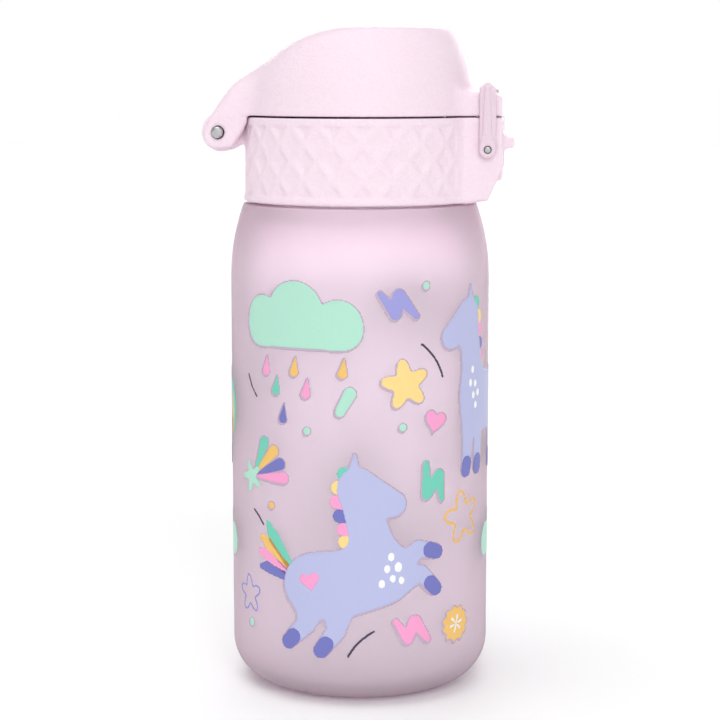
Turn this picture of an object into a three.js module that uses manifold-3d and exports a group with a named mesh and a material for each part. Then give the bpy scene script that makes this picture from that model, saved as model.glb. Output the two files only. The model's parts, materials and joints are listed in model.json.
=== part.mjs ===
// A child's water bottle: a clear bottle, a screw lid with a drinking spout, and a flip cap that a
// button latch and a swinging bail hold shut. Millimetres, +Z up, the origin under the middle of the
// base. The cap's hinge is on the -X side, and the latch is on the +X side.
import * as THREE from 'three';
import { mergeVertices } from 'three/addons/utils/BufferGeometryUtils.js';
import Module from 'manifold-3d';

const wasm = await Module();
wasm.setup();

// ---- Bottle ----
const bodyDiameter = 65;
const bodyHeight = 121.6; // from the base to the ledge under the lid
const bodyWall = 2;
const baseCorner = 11;
const footRecess = 1.5; // how far the middle of the base is raised
const footInnerRadius = 16;
const shoulderRise = 18.5;
const shoulderEdge = 0.6; // the shoulder's top stands this far outside the lid's grip

// ---- Neck and its thread ----
const neckRadius = 24.8; // at the root of the thread
const neckWall = 2.2;
const neckHeight = 15.4;
const threadPitch = 4;
const threadDepth = 1.2;
const threadRoot = 1.7;
const threadCrest = 0.9;
const threadSink = 0.4; // how far a ridge's root is sunk in its wall
const threadRunOut = 0.12; // of a turn, at each end
const neckThreadTurns = 1.75;
const lidThreadTurns = 1.5;
const threadStart = 4.5; // above the ledge

// ---- Lid collar ----
const collarHeight = 21.1; // from its bottom rim to the seam under the cap
const collarWall = 2.27;
const rimStep = 0.33;
const rimHeight = 1.6;
const spigotStep = 0.4; // the wall is thicker by this just above the deck
const deckThickness = 2.2;
const sealThickness = 1.9;
const sealWidth = 2.9;

// ---- Spout and air valve ----
const spoutHeight = 15.8; // above the deck
const spoutBore = 8.2;
const spoutWall = 1.9;
const spoutTaper = 1.8; // how much wider the spout is at its foot
const spoutFlange = 2.4;
const flangeThickness = 1.4;
const spoutFoot = 1.5; // below the deck
const spoutLipRound = 0.9;
const spoutSealWire = 0.55;
const valvePlace = 14; // behind the bottle's axis
const valveStem = 2.1;
const valveHead = 2.1; // wider than the stem
const valveFoot = 0.9;
const valveWall = 1.1;
const valveTail = 3.4; // below the foot

// ---- Plug and its holder ----
const plugThickness = 1.4;
const plugSkirt = 1;
const plugNoseGap = 0.9; // between the plug's nose and the spout's bore
const plugCatch = 1.6; // how far the plug's lip reaches over the holder
const holderInset = 0.4; // inside the spout's lip
const holderThickness = 1;
const holderBore = 2.8;
const holderHub = 3;

// ---- Flip cap ----
const capRise = 21.4; // from the seam to the top
const capWall = 2.2;
const capBaseInset = 0.37; // the cap's lower edge is this far inside the grip
const capTaper = 0.95; // of the lower, straight part of its side
const capStraight = 8;
const capTopInset = 5.57; // the edge of the top is this far inside the grip
const plugRoom = 2; // in front of the plug, inside the cap
const capTopEdge = 0.8;
const crownArc = 29.5; // radius of the crown where it falls towards the hinge
const crownEndX = -1.2;
const crownAngle = 33; // degrees, the fall behind the crown
const armKneeReach = 2.83; // behind the grip
const armKneeRise = 6.7; // above the seam
const armRootDepth = 2.67; // inside the grip
const armHeelReach = 1.43;
const armHeelDrop = 7.6;
const armWidth = 5.1;

// ---- Hinge ----
const hingeReach = 5.38; // behind the grip
const hingeDrop = 3.9; // below the seam
const knuckleRadius = 4.1;
const barrelRadius = 4.9;
const hingePinRadius = 1.4;
const pinStandOut = 1.2;
const lugWidth = 13;
const lugFloor = 6.8; // the lug's lower edge, below the seam
const springWire = 0.45;
const springTurns = 4.75;
const springRoom = 6.5; // the slot that the spring's coil sits in
const springLeg = 4.9;

// ---- Latch ----
const housingReach = 7.11; // in front of the grip
const housingWidth = 24.4;
const housingDepth = 20.4; // below the seam
const chamferDrop = 12.66;
const chamferReach = 3.38;
const cheekWall = 2;
const tabHeight = 5.95;
const tabNose = 5.2;
const tabReach = 6.97;
const tabWall = 1.34;
const buttonThickness = 1.5;
const buttonBottom = 15.5;
const buttonRecess = 0.18; // its face, behind the cheeks' front edges
const nubReach = 2.9;
const nubMiddle = 6.4; // below the seam
const nubRoot = 2.55;
const nubTip = 1.28;
const nubWidth = 12;
const rockerReach = 4.43;
const rockerDrop = 13.8;
const rockerBoss = 1.7;
const trunnionRadius = 1;
const hookThickness = 1.6;
const hookBite = 0.9; // how far the hook reaches over the cap's ledge
const hookWidth = 12;
const hookNose = 1.8;
const hookRoot = 3.8; // height of the web between the plate and the hook
const ledgeThickness = 1;
const buttonSpringRadius = 1.25;
const buttonSpringWire = 0.22;
const buttonSpringTurns = 5;
const springDrop = 1.9; // below the button's top
const springSeat = 0.7; // thickness left behind the plate for the spring to press on

// ---- Lock bail ----
const bailReach = 3.53;
const bailDrop = 7.9;
const bailArmWidth = 4.1;
const bailThickness = 1.6;
const bailBar = 0.75; // thickness of the crossbar beside its ridge
const bailRidge = 1.2;
const latchPinRadius = 0.8;

// ---- Clearances ----
const fitGap = 0.3; // between pieces that rest on each other
const seamGap = 0.4; // between the collar and the cap
const pinGap = 0.2; // round a pin
const threadGap = 0.5; // between a crest and the root that it faces
const sideGap = 0.3; // beside a piece that swings

// ---- Facets ----
const around = 48;
const aroundSmall = 24;

// ---- Places that follow from the sizes above ----
const bodyRadius = bodyDiameter / 2;
const rimZ = bodyHeight + neckHeight;
const collarInner = neckRadius + threadDepth + threadGap;
const gripRadius = collarInner + collarWall;
const collarBottom = bodyHeight + threadGap;
const seamZ = collarBottom + collarHeight;
const collarTop = seamZ - seamGap / 2;
const capBottom = seamZ + seamGap / 2;
const deckBottom = rimZ + sealThickness + 2 * fitGap;
const deckTop = deckBottom + deckThickness;
const spoutTop = deckTop + spoutHeight;
const capTop = seamZ + capRise;
const capTopRadius = gripRadius - capTopInset;
const spoutStub = spoutBore + spoutWall + spoutTaper / 2;
const grooveMiddle = (deckBottom + deckTop) / 2;
const grooveDepth = spoutSealWire * 1.5;
const holderRadius = spoutBore + spoutWall - holderInset;
const plugRadius = holderRadius + fitGap + plugSkirt;
const plugBottom = spoutTop + fitGap;
const holderBottom = plugBottom + plugThickness + fitGap;
const holderTop = holderBottom + holderThickness;
const spoutX = capTopRadius - capWall - plugRadius - plugRoom;
const valveX = -valvePlace;
const hingeX = -gripRadius - hingeReach;
const hingeZ = seamZ - hingeDrop;
const lugHalf = lugWidth / 2;
const armIn = lugHalf + sideGap;
const armOut = armIn + armWidth;
const springRadius = hingePinRadius + 2 * pinGap + springWire; // to the middle of the wire
const crownSlope = Math.tan(THREE.MathUtils.degToRad(crownAngle));
const housingFront = gripRadius + housingReach;
const chamferX = gripRadius + chamferReach;
const tabFront = gripRadius + tabReach;
const housingHalf = housingWidth / 2;
const cavityHalf = housingHalf - cheekWall;
const buttonFace = housingFront - buttonRecess;
const buttonBack = buttonFace - buttonThickness;
const buttonTop = seamZ - seamGap;
const ledgeBack = tabFront - tabWall - fitGap - hookBite;
const hookLow = capBottom + ledgeThickness + fitGap;
const hookTop = hookLow + hookNose;
const pocketHalf = hookWidth / 2 + 1;
const rockerX = gripRadius + rockerReach;
const rockerZ = seamZ - rockerDrop;
const bailX = gripRadius + bailReach;
const bailZ = seamZ - bailDrop;
const bailIn = housingHalf + sideGap;
const bailOut = bailIn + bailThickness;

// ---- Tools ----

// A closed three.js geometry as a solid that can be cut and joined.
function solid(geometry) {
  const bare = geometry.clone();
  for (const name of ['normal', 'uv']) bare.deleteAttribute(name);
  const merged = mergeVertices(bare, 1e-4);
  const points = merged.attributes.position;
  const corners = [new THREE.Vector3(), new THREE.Vector3(), new THREE.Vector3()];
  const triangles = [];
  let volume = 0;
  for (let i = 0; i < merged.index.count; i += 3) {
    const t = [0, 1, 2].map((k) => merged.index.getX(i + k));
    if (t[0] === t[1] || t[1] === t[2] || t[2] === t[0]) continue;
    t.forEach((index, k) => corners[k].fromBufferAttribute(points, index));
    volume += corners[0].dot(corners[1].cross(corners[2]));
    triangles.push(t);
  }
  const outward = volume > 0 ? triangles : triangles.map((t) => [t[0], t[2], t[1]]);
  return new wasm.Manifold(new wasm.Mesh({
    numProp: 3,
    vertProperties: new Float32Array(points.array),
    triVerts: new Uint32Array(outward.flat()),
  }));
}

// A solid back as a geometry with flat shading.
function geometryOf(body) {
  const mesh = body.getMesh();
  const geometry = new THREE.BufferGeometry();
  geometry.setAttribute('position', new THREE.BufferAttribute(mesh.vertProperties, 3));
  geometry.setIndex(new THREE.BufferAttribute(mesh.triVerts, 1));
  geometry.computeVertexNormals();
  return geometry;
}

// A solid of revolution about a vertical axis, from [radius, height] points.
function turned(points, { x = 0, segments = around } = {}) {
  const profile = points.map(([r, z]) => new THREE.Vector2(r, z));
  const onAxis = points[0][0] === 0 && points.at(-1)[0] === 0;
  if (!onAxis) profile.push(profile[0].clone());
  const geometry = new THREE.LatheGeometry(profile, segments);
  geometry.rotateX(Math.PI / 2);
  geometry.translate(x, 0, 0);
  return solid(geometry);
}

// A shape drawn in the X-Z plane, given its thickness along Y between two planes.
function slab(shape, y0, y1) {
  const geometry = new THREE.ExtrudeGeometry(shape, { depth: y1 - y0, bevelEnabled: false });
  geometry.rotateX(Math.PI / 2);
  geometry.translate(0, y1, 0);
  return solid(geometry);
}

// A closed outline in the X-Z plane.
function shapeOf(points) {
  return new THREE.Shape(points.map(([x, z]) => new THREE.Vector2(x, z)));
}

// A box between two planes on each axis.
function block(x0, x1, y0, y1, z0, z1) {
  const geometry = new THREE.BoxGeometry(x1 - x0, y1 - y0, z1 - z0);
  geometry.translate((x0 + x1) / 2, (y0 + y1) / 2, (z0 + z1) / 2);
  return solid(geometry);
}

// A round bar along Y.
function barY(radius, x, z, y0, y1, segments = aroundSmall) {
  const geometry = new THREE.CylinderGeometry(radius, radius, y1 - y0, segments);
  geometry.translate(x, (y0 + y1) / 2, z);
  return solid(geometry);
}

// A round bar along Z.
function barZ(radius, x, z0, z1, segments = aroundSmall) {
  const geometry = new THREE.CylinderGeometry(radius, radius, z1 - z0, segments);
  geometry.rotateX(Math.PI / 2);
  geometry.translate(x, 0, (z0 + z1) / 2);
  return solid(geometry);
}

// Points on a circular arc, angles in degrees.
function arc(cx, cz, radius, from, to, steps) {
  return Array.from({ length: steps + 1 }, (_, i) => {
    const a = THREE.MathUtils.degToRad(from + ((to - from) * i) / steps);
    return [cx + radius * Math.cos(a), cz + radius * Math.sin(a)];
  });
}

// A thread ridge: a straight bar bent round the axis, rising by the pitch, and run out at its ends.
function thread(wall, outward, z, turns) {
  const steps = Math.round(turns * 30);
  const geometry = new THREE.BoxGeometry(turns, 1, 1, steps, 1, 1);
  const at = geometry.attributes.position;
  for (let i = 0; i < at.count; i++) {
    const turn = at.getX(i) + turns / 2;
    const crest = at.getY(i) > 0;
    const height = Math.min(1, turn / threadRunOut + 0.02, (turns - turn) / threadRunOut + 0.02);
    const reach = crest ? threadDepth * height : -threadSink;
    const width = crest ? threadCrest : threadRoot;
    const angle = turn * 2 * Math.PI;
    const r = wall + outward * reach;
    const rise = z + turn * threadPitch;
    at.setXYZ(i, r * Math.cos(angle), r * Math.sin(angle), rise + at.getZ(i) * width);
  }
  return solid(geometry);
}

// A wire swept along a curve.
function wire(curve, radius, steps) {
  const section = new THREE.Shape();
  section.absarc(0, 0, radius, 0, 2 * Math.PI);
  const settings = { steps, extrudePath: curve, bevelEnabled: false, curveSegments: 3 };
  return solid(new THREE.ExtrudeGeometry(section, settings));
}

// ---- Sub-parts ----

// The shoulder's curve, from a straight side inwards to its edge.
function shoulder(radius, edge, from, to, steps) {
  return Array.from({ length: steps + 1 }, (_, i) => {
    const s = i / steps;
    return [radius + (edge - radius) * s * s, from + (to - from) * s];
  });
}

function bottleBody() {
  const ledgeRadius = gripRadius + shoulderEdge;
  const shoulderStart = bodyHeight - shoulderRise;
  const innerEdge = ledgeRadius - 2 * bodyWall;
  const innerTop = bodyHeight - 2 * bodyWall;
  const innerRadius = bodyRadius - bodyWall;
  const innerCorner = baseCorner - bodyWall;
  const floorZ = footRecess + bodyWall;
  const outline = [
    [0, footRecess],
    [footInnerRadius - footRecess, footRecess],
    [footInnerRadius, 0],
    ...arc(bodyRadius - baseCorner, baseCorner, baseCorner, -90, 0, 6),
    ...shoulder(bodyRadius, ledgeRadius, shoulderStart, bodyHeight, 5),
    [neckRadius, bodyHeight],
    [neckRadius, rimZ],
    [neckRadius - neckWall, rimZ],
    [neckRadius - neckWall, bodyHeight - bodyWall],
    ...shoulder(innerRadius, innerEdge, shoulderStart, innerTop, 3).reverse(),
    ...arc(innerRadius - innerCorner, floorZ + innerCorner, innerCorner, 0, -90, 4),
    [0, floorZ],
  ];
  return turned(outline).add(thread(neckRadius, 1, bodyHeight + threadStart, neckThreadTurns));
}

function neckSeal() {
  const outer = collarInner - threadGap;
  const low = rimZ + fitGap;
  const high = low + sealThickness;
  return turned([[outer - sealWidth, low], [outer, low], [outer, high], [outer - sealWidth, high]]);
}

// The bracket on the back of the collar that holds the hinge pin between the cap's arms.
function hingeLug() {
  const barrel = barY(barrelRadius, hingeX, hingeZ, -lugHalf, lugHalf);
  const webTop = hingeZ + springRadius - springWire - pinGap;
  const web = block(hingeX, -collarInner - collarWall / 2, -lugHalf, lugHalf, seamZ - lugFloor, webTop);
  const half = springRoom / 2;
  const coilEnd = hingeX + springRadius + springWire + pinGap;
  const coilSlot = block(hingeX - barrelRadius - 1, coilEnd, -half, half,
    hingeZ - springRadius - 2 * springWire, webTop + 1);
  const legSlot = block(hingeX - barrelRadius - 1, hingeX + barrelRadius + 1, -half, half,
    webTop, hingeZ + barrelRadius + 1);
  return barrel.add(web).subtract(coilSlot).subtract(legSlot)
    .subtract(barY(hingePinRadius + pinGap, hingeX, hingeZ, -lugWidth, lugWidth));
}

// The open-fronted box on the front of the collar that the button rocks in.
function latchHousing() {
  const side = shapeOf([
    [collarInner + collarWall / 2, collarTop],
    [housingFront, collarTop],
    [housingFront, seamZ - chamferDrop],
    [chamferX, seamZ - housingDepth],
    [collarInner + collarWall / 2, seamZ - housingDepth],
  ]);
  const cavity = block(gripRadius + sideGap, housingFront + 1, -cavityHalf, cavityHalf,
    seamZ - buttonBottom - fitGap, seamZ + 1);
  const socketEnd = cavityHalf + cheekWall * 0.7;
  return slab(side, -housingHalf, housingHalf)
    .subtract(cavity)
    .subtract(barY(trunnionRadius + pinGap, rockerX, rockerZ, -socketEnd, socketEnd))
    .subtract(barY(latchPinRadius + pinGap, bailX, bailZ, -housingWidth, housingWidth));
}

function collar() {
  const lip = collarTop - 1;
  const shell = turned([
    [0, deckBottom],
    [collarInner, deckBottom],
    [collarInner, collarBottom],
    [gripRadius + rimStep, collarBottom],
    [gripRadius + rimStep, collarBottom + rimHeight],
    [gripRadius, collarBottom + rimHeight + rimStep],
    [gripRadius, collarTop],
    [collarInner, collarTop],
    [collarInner - spigotStep, lip],
    [collarInner - spigotStep, deckTop],
    [0, deckTop],
  ]);
  const lidThread = thread(collarInner, -1, bodyHeight + threadStart - threadPitch / 2, lidThreadTurns);
  const holes = barZ(spoutStub + 2 * fitGap, spoutX, deckBottom - 1, deckTop + 1, 30)
    .add(barZ(valveStem + fitGap, valveX, deckBottom - 1, deckTop + 1));
  return shell.add(lidThread).add(hingeLug()).add(latchHousing()).subtract(holes);
}

function drinkingSpout() {
  const lip = spoutBore + spoutWall;
  const round = spoutLipRound;
  const flangeBottom = deckTop + fitGap;
  const foot = deckBottom - spoutFoot;
  return turned([
    [spoutBore + spoutTaper / 2, foot],
    [spoutStub, foot],
    [spoutStub, grooveMiddle - grooveDepth],
    [spoutStub - grooveDepth, grooveMiddle - grooveDepth],
    [spoutStub - grooveDepth, grooveMiddle + grooveDepth],
    [spoutStub, grooveMiddle + grooveDepth],
    [spoutStub, flangeBottom],
    [spoutStub + spoutFlange, flangeBottom],
    [spoutStub + spoutFlange, flangeBottom + flangeThickness],
    [lip + spoutTaper, flangeBottom + flangeThickness],
    [lip - 0.2, spoutTop - 3],
    [lip + 0.2, spoutTop - 1.8],
    ...arc(lip + 0.2 - round, spoutTop - round, round, 0, 90, 3),
    ...arc(spoutBore + round, spoutTop - round, round, 90, 180, 3),
    [spoutBore, spoutTop - 4],
  ], { x: spoutX, segments: 30 });
}

function spoutSeal() {
  const ringRadius = spoutStub - grooveDepth + spoutSealWire + fitGap / 3;
  return turned(arc(ringRadius, grooveMiddle, spoutSealWire, 0, 300, 5), { x: spoutX, segments: 30 });
}

function airValve() {
  const headRadius = valveStem + valveHead;
  const footRadius = valveStem + valveFoot;
  const head = deckTop + fitGap;
  const foot = deckBottom - fitGap;
  const bore = valveStem - valveWall;
  return turned([
    [0, foot - valveTail],
    [bore + 0.5, foot - valveTail],
    [footRadius, foot - 1],
    [footRadius, foot],
    [valveStem, foot],
    [valveStem, head],
    [headRadius, head],
    [headRadius - 0.4, head + 1],
    [bore, head + 1],
    [bore, foot - valveTail + 0.8],
    [0, foot - valveTail + 0.8],
  ], { x: valveX, segments: aroundSmall });
}

// The cap's side, or its inner face at an inset, as [radius, height] points from the seam upwards.
function capSide(inset) {
  const low = gripRadius - capBaseInset;
  const high = low - capTaper;
  const top = capRise - capTopEdge;
  const side = new THREE.QuadraticBezierCurve(
    new THREE.Vector2(high - inset, seamZ + capStraight),
    new THREE.Vector2(high - inset - 1.35, seamZ + (capStraight + top) / 2 + 2.2),
    new THREE.Vector2(capTopRadius - inset, seamZ + top - inset),
  );
  return [
    [low - inset, capBottom],
    ...side.getPoints(5).map((p) => [p.x, p.y]),
    [capTopRadius - inset - capTopEdge, seamZ + capRise - inset],
  ];
}

// The outline of the cap's crown in the X-Z plane, from the front to the hinge.
function crown(inset) {
  const top = capTop - inset;
  const radius = crownArc - inset;
  const curve = arc(crownEndX, top - radius, radius, 90, 90 + crownAngle, 6);
  const [startX, startZ] = curve.at(-1);
  const farX = -gripRadius - 6;
  return [
    [gripRadius + 6, capBottom - 1],
    [gripRadius + 6, top],
    ...curve,
    [farX, startZ + crownSlope * (farX - startX)],
    [farX, capBottom - 1],
  ];
}

// The two arms on the back of the cap, with the room between them for the lug.
function capArms() {
  const knee = [-gripRadius - armKneeReach, seamZ + armKneeRise];
  const rootX = armRootDepth - gripRadius;
  const heelX = -gripRadius - armHeelReach;
  const heelZ = seamZ - armHeelDrop;
  const outline = shapeOf([
    [rootX, collarTop],
    [rootX + 4, seamZ + capStraight],
    [rootX + 4, knee[1] + crownSlope * (rootX + 4 - knee[0])],
    knee,
    ...arc(hingeX, hingeZ, knuckleRadius, 153, 268, 7),
    [heelX - 1.6, heelZ - 0.25],
    [heelX - 0.3, heelZ + 0.6],
  ]);
  const between = slab(shapeOf([
    [hingeX - knuckleRadius - 2, hingeZ - knuckleRadius - 2],
    [-gripRadius + 1.4, hingeZ - knuckleRadius - 2],
    [-gripRadius + 1.4, capBottom],
    [-gripRadius - 1.2, capBottom],
    [hingeX + 2.2, hingeZ + barrelRadius + sideGap + 0.6],
    [hingeX - knuckleRadius - 2, hingeZ + barrelRadius + sideGap + 0.6],
  ]), -armIn, armIn);
  return slab(outline, -armOut, armOut)
    .subtract(between)
    .subtract(barY(barrelRadius + sideGap, hingeX, hingeZ, -armIn, armIn))
    .subtract(barZ(gripRadius + sideGap, 0, collarBottom, capBottom, around));
}

// The block on the cap's front that the bail's crossbar lies on and the hook bites into.
function capTab() {
  const nose = seamZ + tabNose;
  const outline = shapeOf([
    [gripRadius - capWall, capBottom],
    [tabFront, capBottom],
    ...arc(tabFront - 1, nose - 1, 1, 0, 90, 3),
    [bailX + bailArmWidth / 2, nose],
    [bailX + bailArmWidth / 2 - 0.6, seamZ + tabHeight],
    [gripRadius + 0.4, seamZ + tabHeight],
    [gripRadius - capTaper - 1, seamZ + capStraight],
    [gripRadius - capTaper - 1.4, seamZ + capStraight],
  ]);
  const wallBack = tabFront - tabWall;
  const roof = hookTop + fitGap + 0.5;
  const pocket = block(gripRadius + 0.9, wallBack, -pocketHalf, pocketHalf, capBottom - 1, roof);
  const ledgeTop = capBottom + ledgeThickness;
  const ledge = block(ledgeBack, wallBack + 0.2, -pocketHalf, pocketHalf, capBottom, ledgeTop);
  return slab(outline, -housingHalf, housingHalf).subtract(pocket).add(ledge);
}

// The dome under its crown, or the hollow in it at an inset of the wall, from a height upwards.
function dome(inset, from) {
  const side = capSide(inset);
  return turned([[0, from], [side[0][0], from], ...side, [0, capTop - inset]])
    .intersect(slab(shapeOf(crown(inset)), -bodyRadius, bodyRadius));
}

function flipCap() {
  const middleOfWall = turned([[0, 0], ...capSide(capWall / 2), [0, capTop]]);
  const boss = barZ(holderBore - fitGap, spoutX, holderBottom + 0.6, capTop - capWall / 2);
  return dome(0, capBottom)
    .add(capArms())
    .add(capTab().subtract(middleOfWall))
    .subtract(dome(capWall, capBottom - 1))
    .add(boss)
    .subtract(barY(hingePinRadius + pinGap, hingeX, hingeZ, -armOut - 1, armOut + 1));
}

// The disc inside the cap that carries the silicone plug.
function plugHolder() {
  const hub = holderBore + holderHub;
  const top = capTop - capWall - fitGap;
  return turned([
    [holderBore, holderBottom],
    [holderRadius, holderBottom],
    [holderRadius, holderTop],
    [hub, holderTop],
    [hub, top],
    [holderBore, top],
  ], { x: spoutX, segments: 32 });
}

function spoutPlug() {
  const inner = holderRadius + fitGap;
  const lip = holderTop + fitGap;
  const nose = spoutBore - plugNoseGap;
  return turned([
    [0, plugBottom - plugThickness],
    [nose - 1.1, plugBottom - plugThickness],
    [nose, plugBottom],
    [plugRadius, plugBottom],
    [plugRadius, lip + 0.6],
    [inner - plugCatch, lip + 0.6],
    [inner - plugCatch, lip],
    [inner, lip],
    [inner, plugBottom + plugThickness],
    [0, plugBottom + plugThickness],
  ], { x: spoutX, segments: 32 });
}

function hingePin() {
  const end = armOut + pinStandOut;
  const chamfer = 0.4;
  const pin = turned([
    [0, -end],
    [hingePinRadius - chamfer, -end],
    [hingePinRadius, -end + chamfer],
    [hingePinRadius, end - chamfer],
    [hingePinRadius - chamfer, end],
    [0, end],
  ], { segments: aroundSmall });
  return pin.rotate([90, 0, 0]).translate([hingeX, 0, hingeZ]);
}

// The torsion spring round the hinge pin: one leg lies on the lug, and the other pushes the cap up.
function hingeSpring() {
  const half = springRoom / 2 - springWire - sideGap;
  const steps = Math.round(springTurns * 12);
  const coil = Array.from({ length: steps + 1 }, (_, i) => {
    const t = i / steps;
    const angle = Math.PI + 2 * Math.PI * springTurns * t;
    return new THREE.Vector3(
      hingeX + springRadius * Math.sin(angle),
      -half + 2 * half * t,
      hingeZ - springRadius * Math.cos(angle),
    );
  });
  const lugLeg = coil[0].clone().add(new THREE.Vector3(springLeg - 0.6, 0, 0));
  const capLeg = coil.at(-1).clone().add(new THREE.Vector3(0, 0, springLeg));
  const curve = new THREE.CatmullRomCurve3([lugLeg, ...coil, capLeg], false, 'centripetal');
  return wire(curve, springWire, Math.round(springTurns * 14));
}

function latchButton() {
  const bottom = seamZ - buttonBottom;
  const half = cavityHalf - sideGap;
  const plate = block(buttonBack, buttonFace, -half, half, bottom, buttonTop);
  const boss = barY(rockerBoss, rockerX, rockerZ, -half, half);
  const trunnionEnd = half + cheekWall * 0.6;
  const trunnions = barY(trunnionRadius, rockerX, rockerZ, -trunnionEnd, trunnionEnd);
  const middle = seamZ - nubMiddle;
  const nub = shapeOf([
    [buttonFace - 0.3, middle + nubRoot],
    [buttonFace, middle + nubRoot],
    [buttonFace + nubReach * 0.35, middle + nubTip + 0.35],
    [buttonFace + nubReach * 0.8, middle + nubTip],
    [buttonFace + nubReach, middle + nubTip - 0.3],
    [buttonFace + nubReach, middle - nubTip + 0.3],
    [buttonFace + nubReach * 0.8, middle - nubTip],
    [buttonFace + nubReach * 0.35, middle - nubTip - 0.35],
    [buttonFace, middle - nubRoot],
    [buttonFace - 0.3, middle - nubRoot],
  ]);
  const noseTip = ledgeBack + hookBite;
  const stemFront = ledgeBack - fitGap;
  const stemBack = stemFront - hookThickness;
  const hook = shapeOf([
    [stemBack, buttonTop - hookRoot],
    [buttonBack + 0.3, buttonTop - hookRoot],
    [buttonBack + 0.3, buttonTop],
    [stemFront, buttonTop],
    [stemFront, hookLow],
    [noseTip, hookLow],
    [noseTip, hookLow + 0.6],
    [stemFront - 0.4, hookTop],
    [stemBack, hookTop],
  ]);
  const holeRadius = buttonSpringRadius + 0.5;
  const springHole = new THREE.CylinderGeometry(holeRadius, holeRadius, hookRoot, 20);
  springHole.rotateZ(Math.PI / 2);
  springHole.translate(buttonBack - springSeat - hookRoot / 2, 0, buttonTop - springDrop);
  return plate.add(boss).add(trunnions)
    .add(slab(nub, -nubWidth / 2, nubWidth / 2))
    .add(slab(hook, -hookWidth / 2, hookWidth / 2).subtract(solid(springHole)));
}

// The compression spring that pushes the button out.
function buttonSpring() {
  const from = gripRadius + sideGap + fitGap + buttonSpringWire;
  const to = buttonBack - springSeat - fitGap - buttonSpringWire;
  const steps = buttonSpringTurns * 10;
  const points = Array.from({ length: steps + 1 }, (_, i) => {
    const t = i / steps;
    const angle = 2 * Math.PI * buttonSpringTurns * t;
    return new THREE.Vector3(
      from + (to - from) * t,
      buttonSpringRadius * Math.cos(angle),
      buttonTop - springDrop + buttonSpringRadius * Math.sin(angle),
    );
  });
  return wire(new THREE.CatmullRomCurve3(points), buttonSpringWire, steps);
}

function lockBail() {
  const half = bailArmWidth / 2;
  const barBottom = seamZ + tabHeight + fitGap;
  const bar = barBottom + bailBar;
  const reach = bailArmWidth; // the window's cut passes the arms by this
  const outline = shapeOf([
    ...arc(bailX, bailZ, half, 180, 360, 10),
    [bailX + half, barBottom],
    [bailX + half - 0.5, bar],
    [bailX + 0.4, bar + bailRidge],
    [bailX - 0.5, bar + bailRidge],
    [bailX - half, bar],
  ]);
  return slab(outline, -bailOut, bailOut)
    .subtract(block(bailX - reach, bailX + reach, -bailIn, bailIn, bailZ - reach, barBottom))
    .subtract(barY(latchPinRadius + pinGap, bailX, bailZ, -bailOut - 1, bailOut + 1));
}

function latchPin() {
  return barY(latchPinRadius, bailX, bailZ, -bailOut + 0.1, bailOut - 0.1, 20);
}

// ---- Materials ----
const materials = {
  clear: new THREE.MeshStandardMaterial({
    color: 0xe9b9cf,
    roughness: 0.45,
    transparent: true,
    opacity: 0.6,
  }),
  pink: new THREE.MeshStandardMaterial({ color: 0xf3dfea, roughness: 0.6 }),
  spout: new THREE.MeshStandardMaterial({ color: 0xf6f1f2, roughness: 0.4 }),
  silicone: new THREE.MeshStandardMaterial({ color: 0xf2eeee, roughness: 0.75 }),
  steel: new THREE.MeshStandardMaterial({ color: 0xb9bcbc, roughness: 0.3, metalness: 1 }),
};

const subParts = {
  bottle_body: [bottleBody, materials.clear],
  neck_seal: [neckSeal, materials.silicone],
  collar: [collar, materials.pink],
  drinking_spout: [drinkingSpout, materials.spout],
  spout_seal: [spoutSeal, materials.silicone],
  air_valve: [airValve, materials.silicone],
  flip_cap: [flipCap, materials.pink],
  plug_holder: [plugHolder, materials.pink],
  spout_plug: [spoutPlug, materials.silicone],
  hinge_pin: [hingePin, materials.steel],
  hinge_spring: [hingeSpring, materials.steel],
  latch_button: [latchButton, materials.pink],
  button_spring: [buttonSpring, materials.steel],
  lock_bail: [lockBail, materials.pink],
  latch_pin: [latchPin, materials.steel],
};

const bottle = new THREE.Group();
for (const [name, [make, material]] of Object.entries(subParts)) {
  const mesh = new THREE.Mesh(geometryOf(make()), material);
  mesh.name = name;
  bottle.add(mesh);
}

export default bottle;
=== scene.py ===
"""A child's water bottle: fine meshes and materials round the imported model. Lengths here are in
millimetres until a mesh is made. The latch is on the +X side, the hinge on the -X side."""
import json
import math

import bmesh
import bpy
import numpy as np
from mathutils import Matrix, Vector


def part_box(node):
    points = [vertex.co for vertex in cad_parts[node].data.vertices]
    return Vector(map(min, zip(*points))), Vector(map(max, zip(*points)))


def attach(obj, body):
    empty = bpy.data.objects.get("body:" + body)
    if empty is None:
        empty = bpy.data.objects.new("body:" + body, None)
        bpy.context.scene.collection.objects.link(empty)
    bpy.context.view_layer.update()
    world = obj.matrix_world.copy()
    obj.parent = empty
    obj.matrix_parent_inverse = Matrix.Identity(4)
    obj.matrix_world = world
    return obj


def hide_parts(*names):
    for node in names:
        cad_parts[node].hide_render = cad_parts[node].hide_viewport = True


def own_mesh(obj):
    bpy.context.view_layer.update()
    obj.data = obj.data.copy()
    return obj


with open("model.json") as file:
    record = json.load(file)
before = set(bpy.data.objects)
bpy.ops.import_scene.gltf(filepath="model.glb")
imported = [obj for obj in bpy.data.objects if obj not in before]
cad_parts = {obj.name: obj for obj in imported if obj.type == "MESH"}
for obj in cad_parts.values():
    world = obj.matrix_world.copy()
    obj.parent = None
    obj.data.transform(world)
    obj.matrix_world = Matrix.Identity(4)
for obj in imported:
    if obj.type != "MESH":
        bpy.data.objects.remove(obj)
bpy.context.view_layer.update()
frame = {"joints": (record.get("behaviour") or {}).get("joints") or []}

import openvdb

# ---- Sizes, in millimetres ----
MM = 0.001  # metres in a millimetre
FAR = 100  # beyond the bottle in every direction

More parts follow.
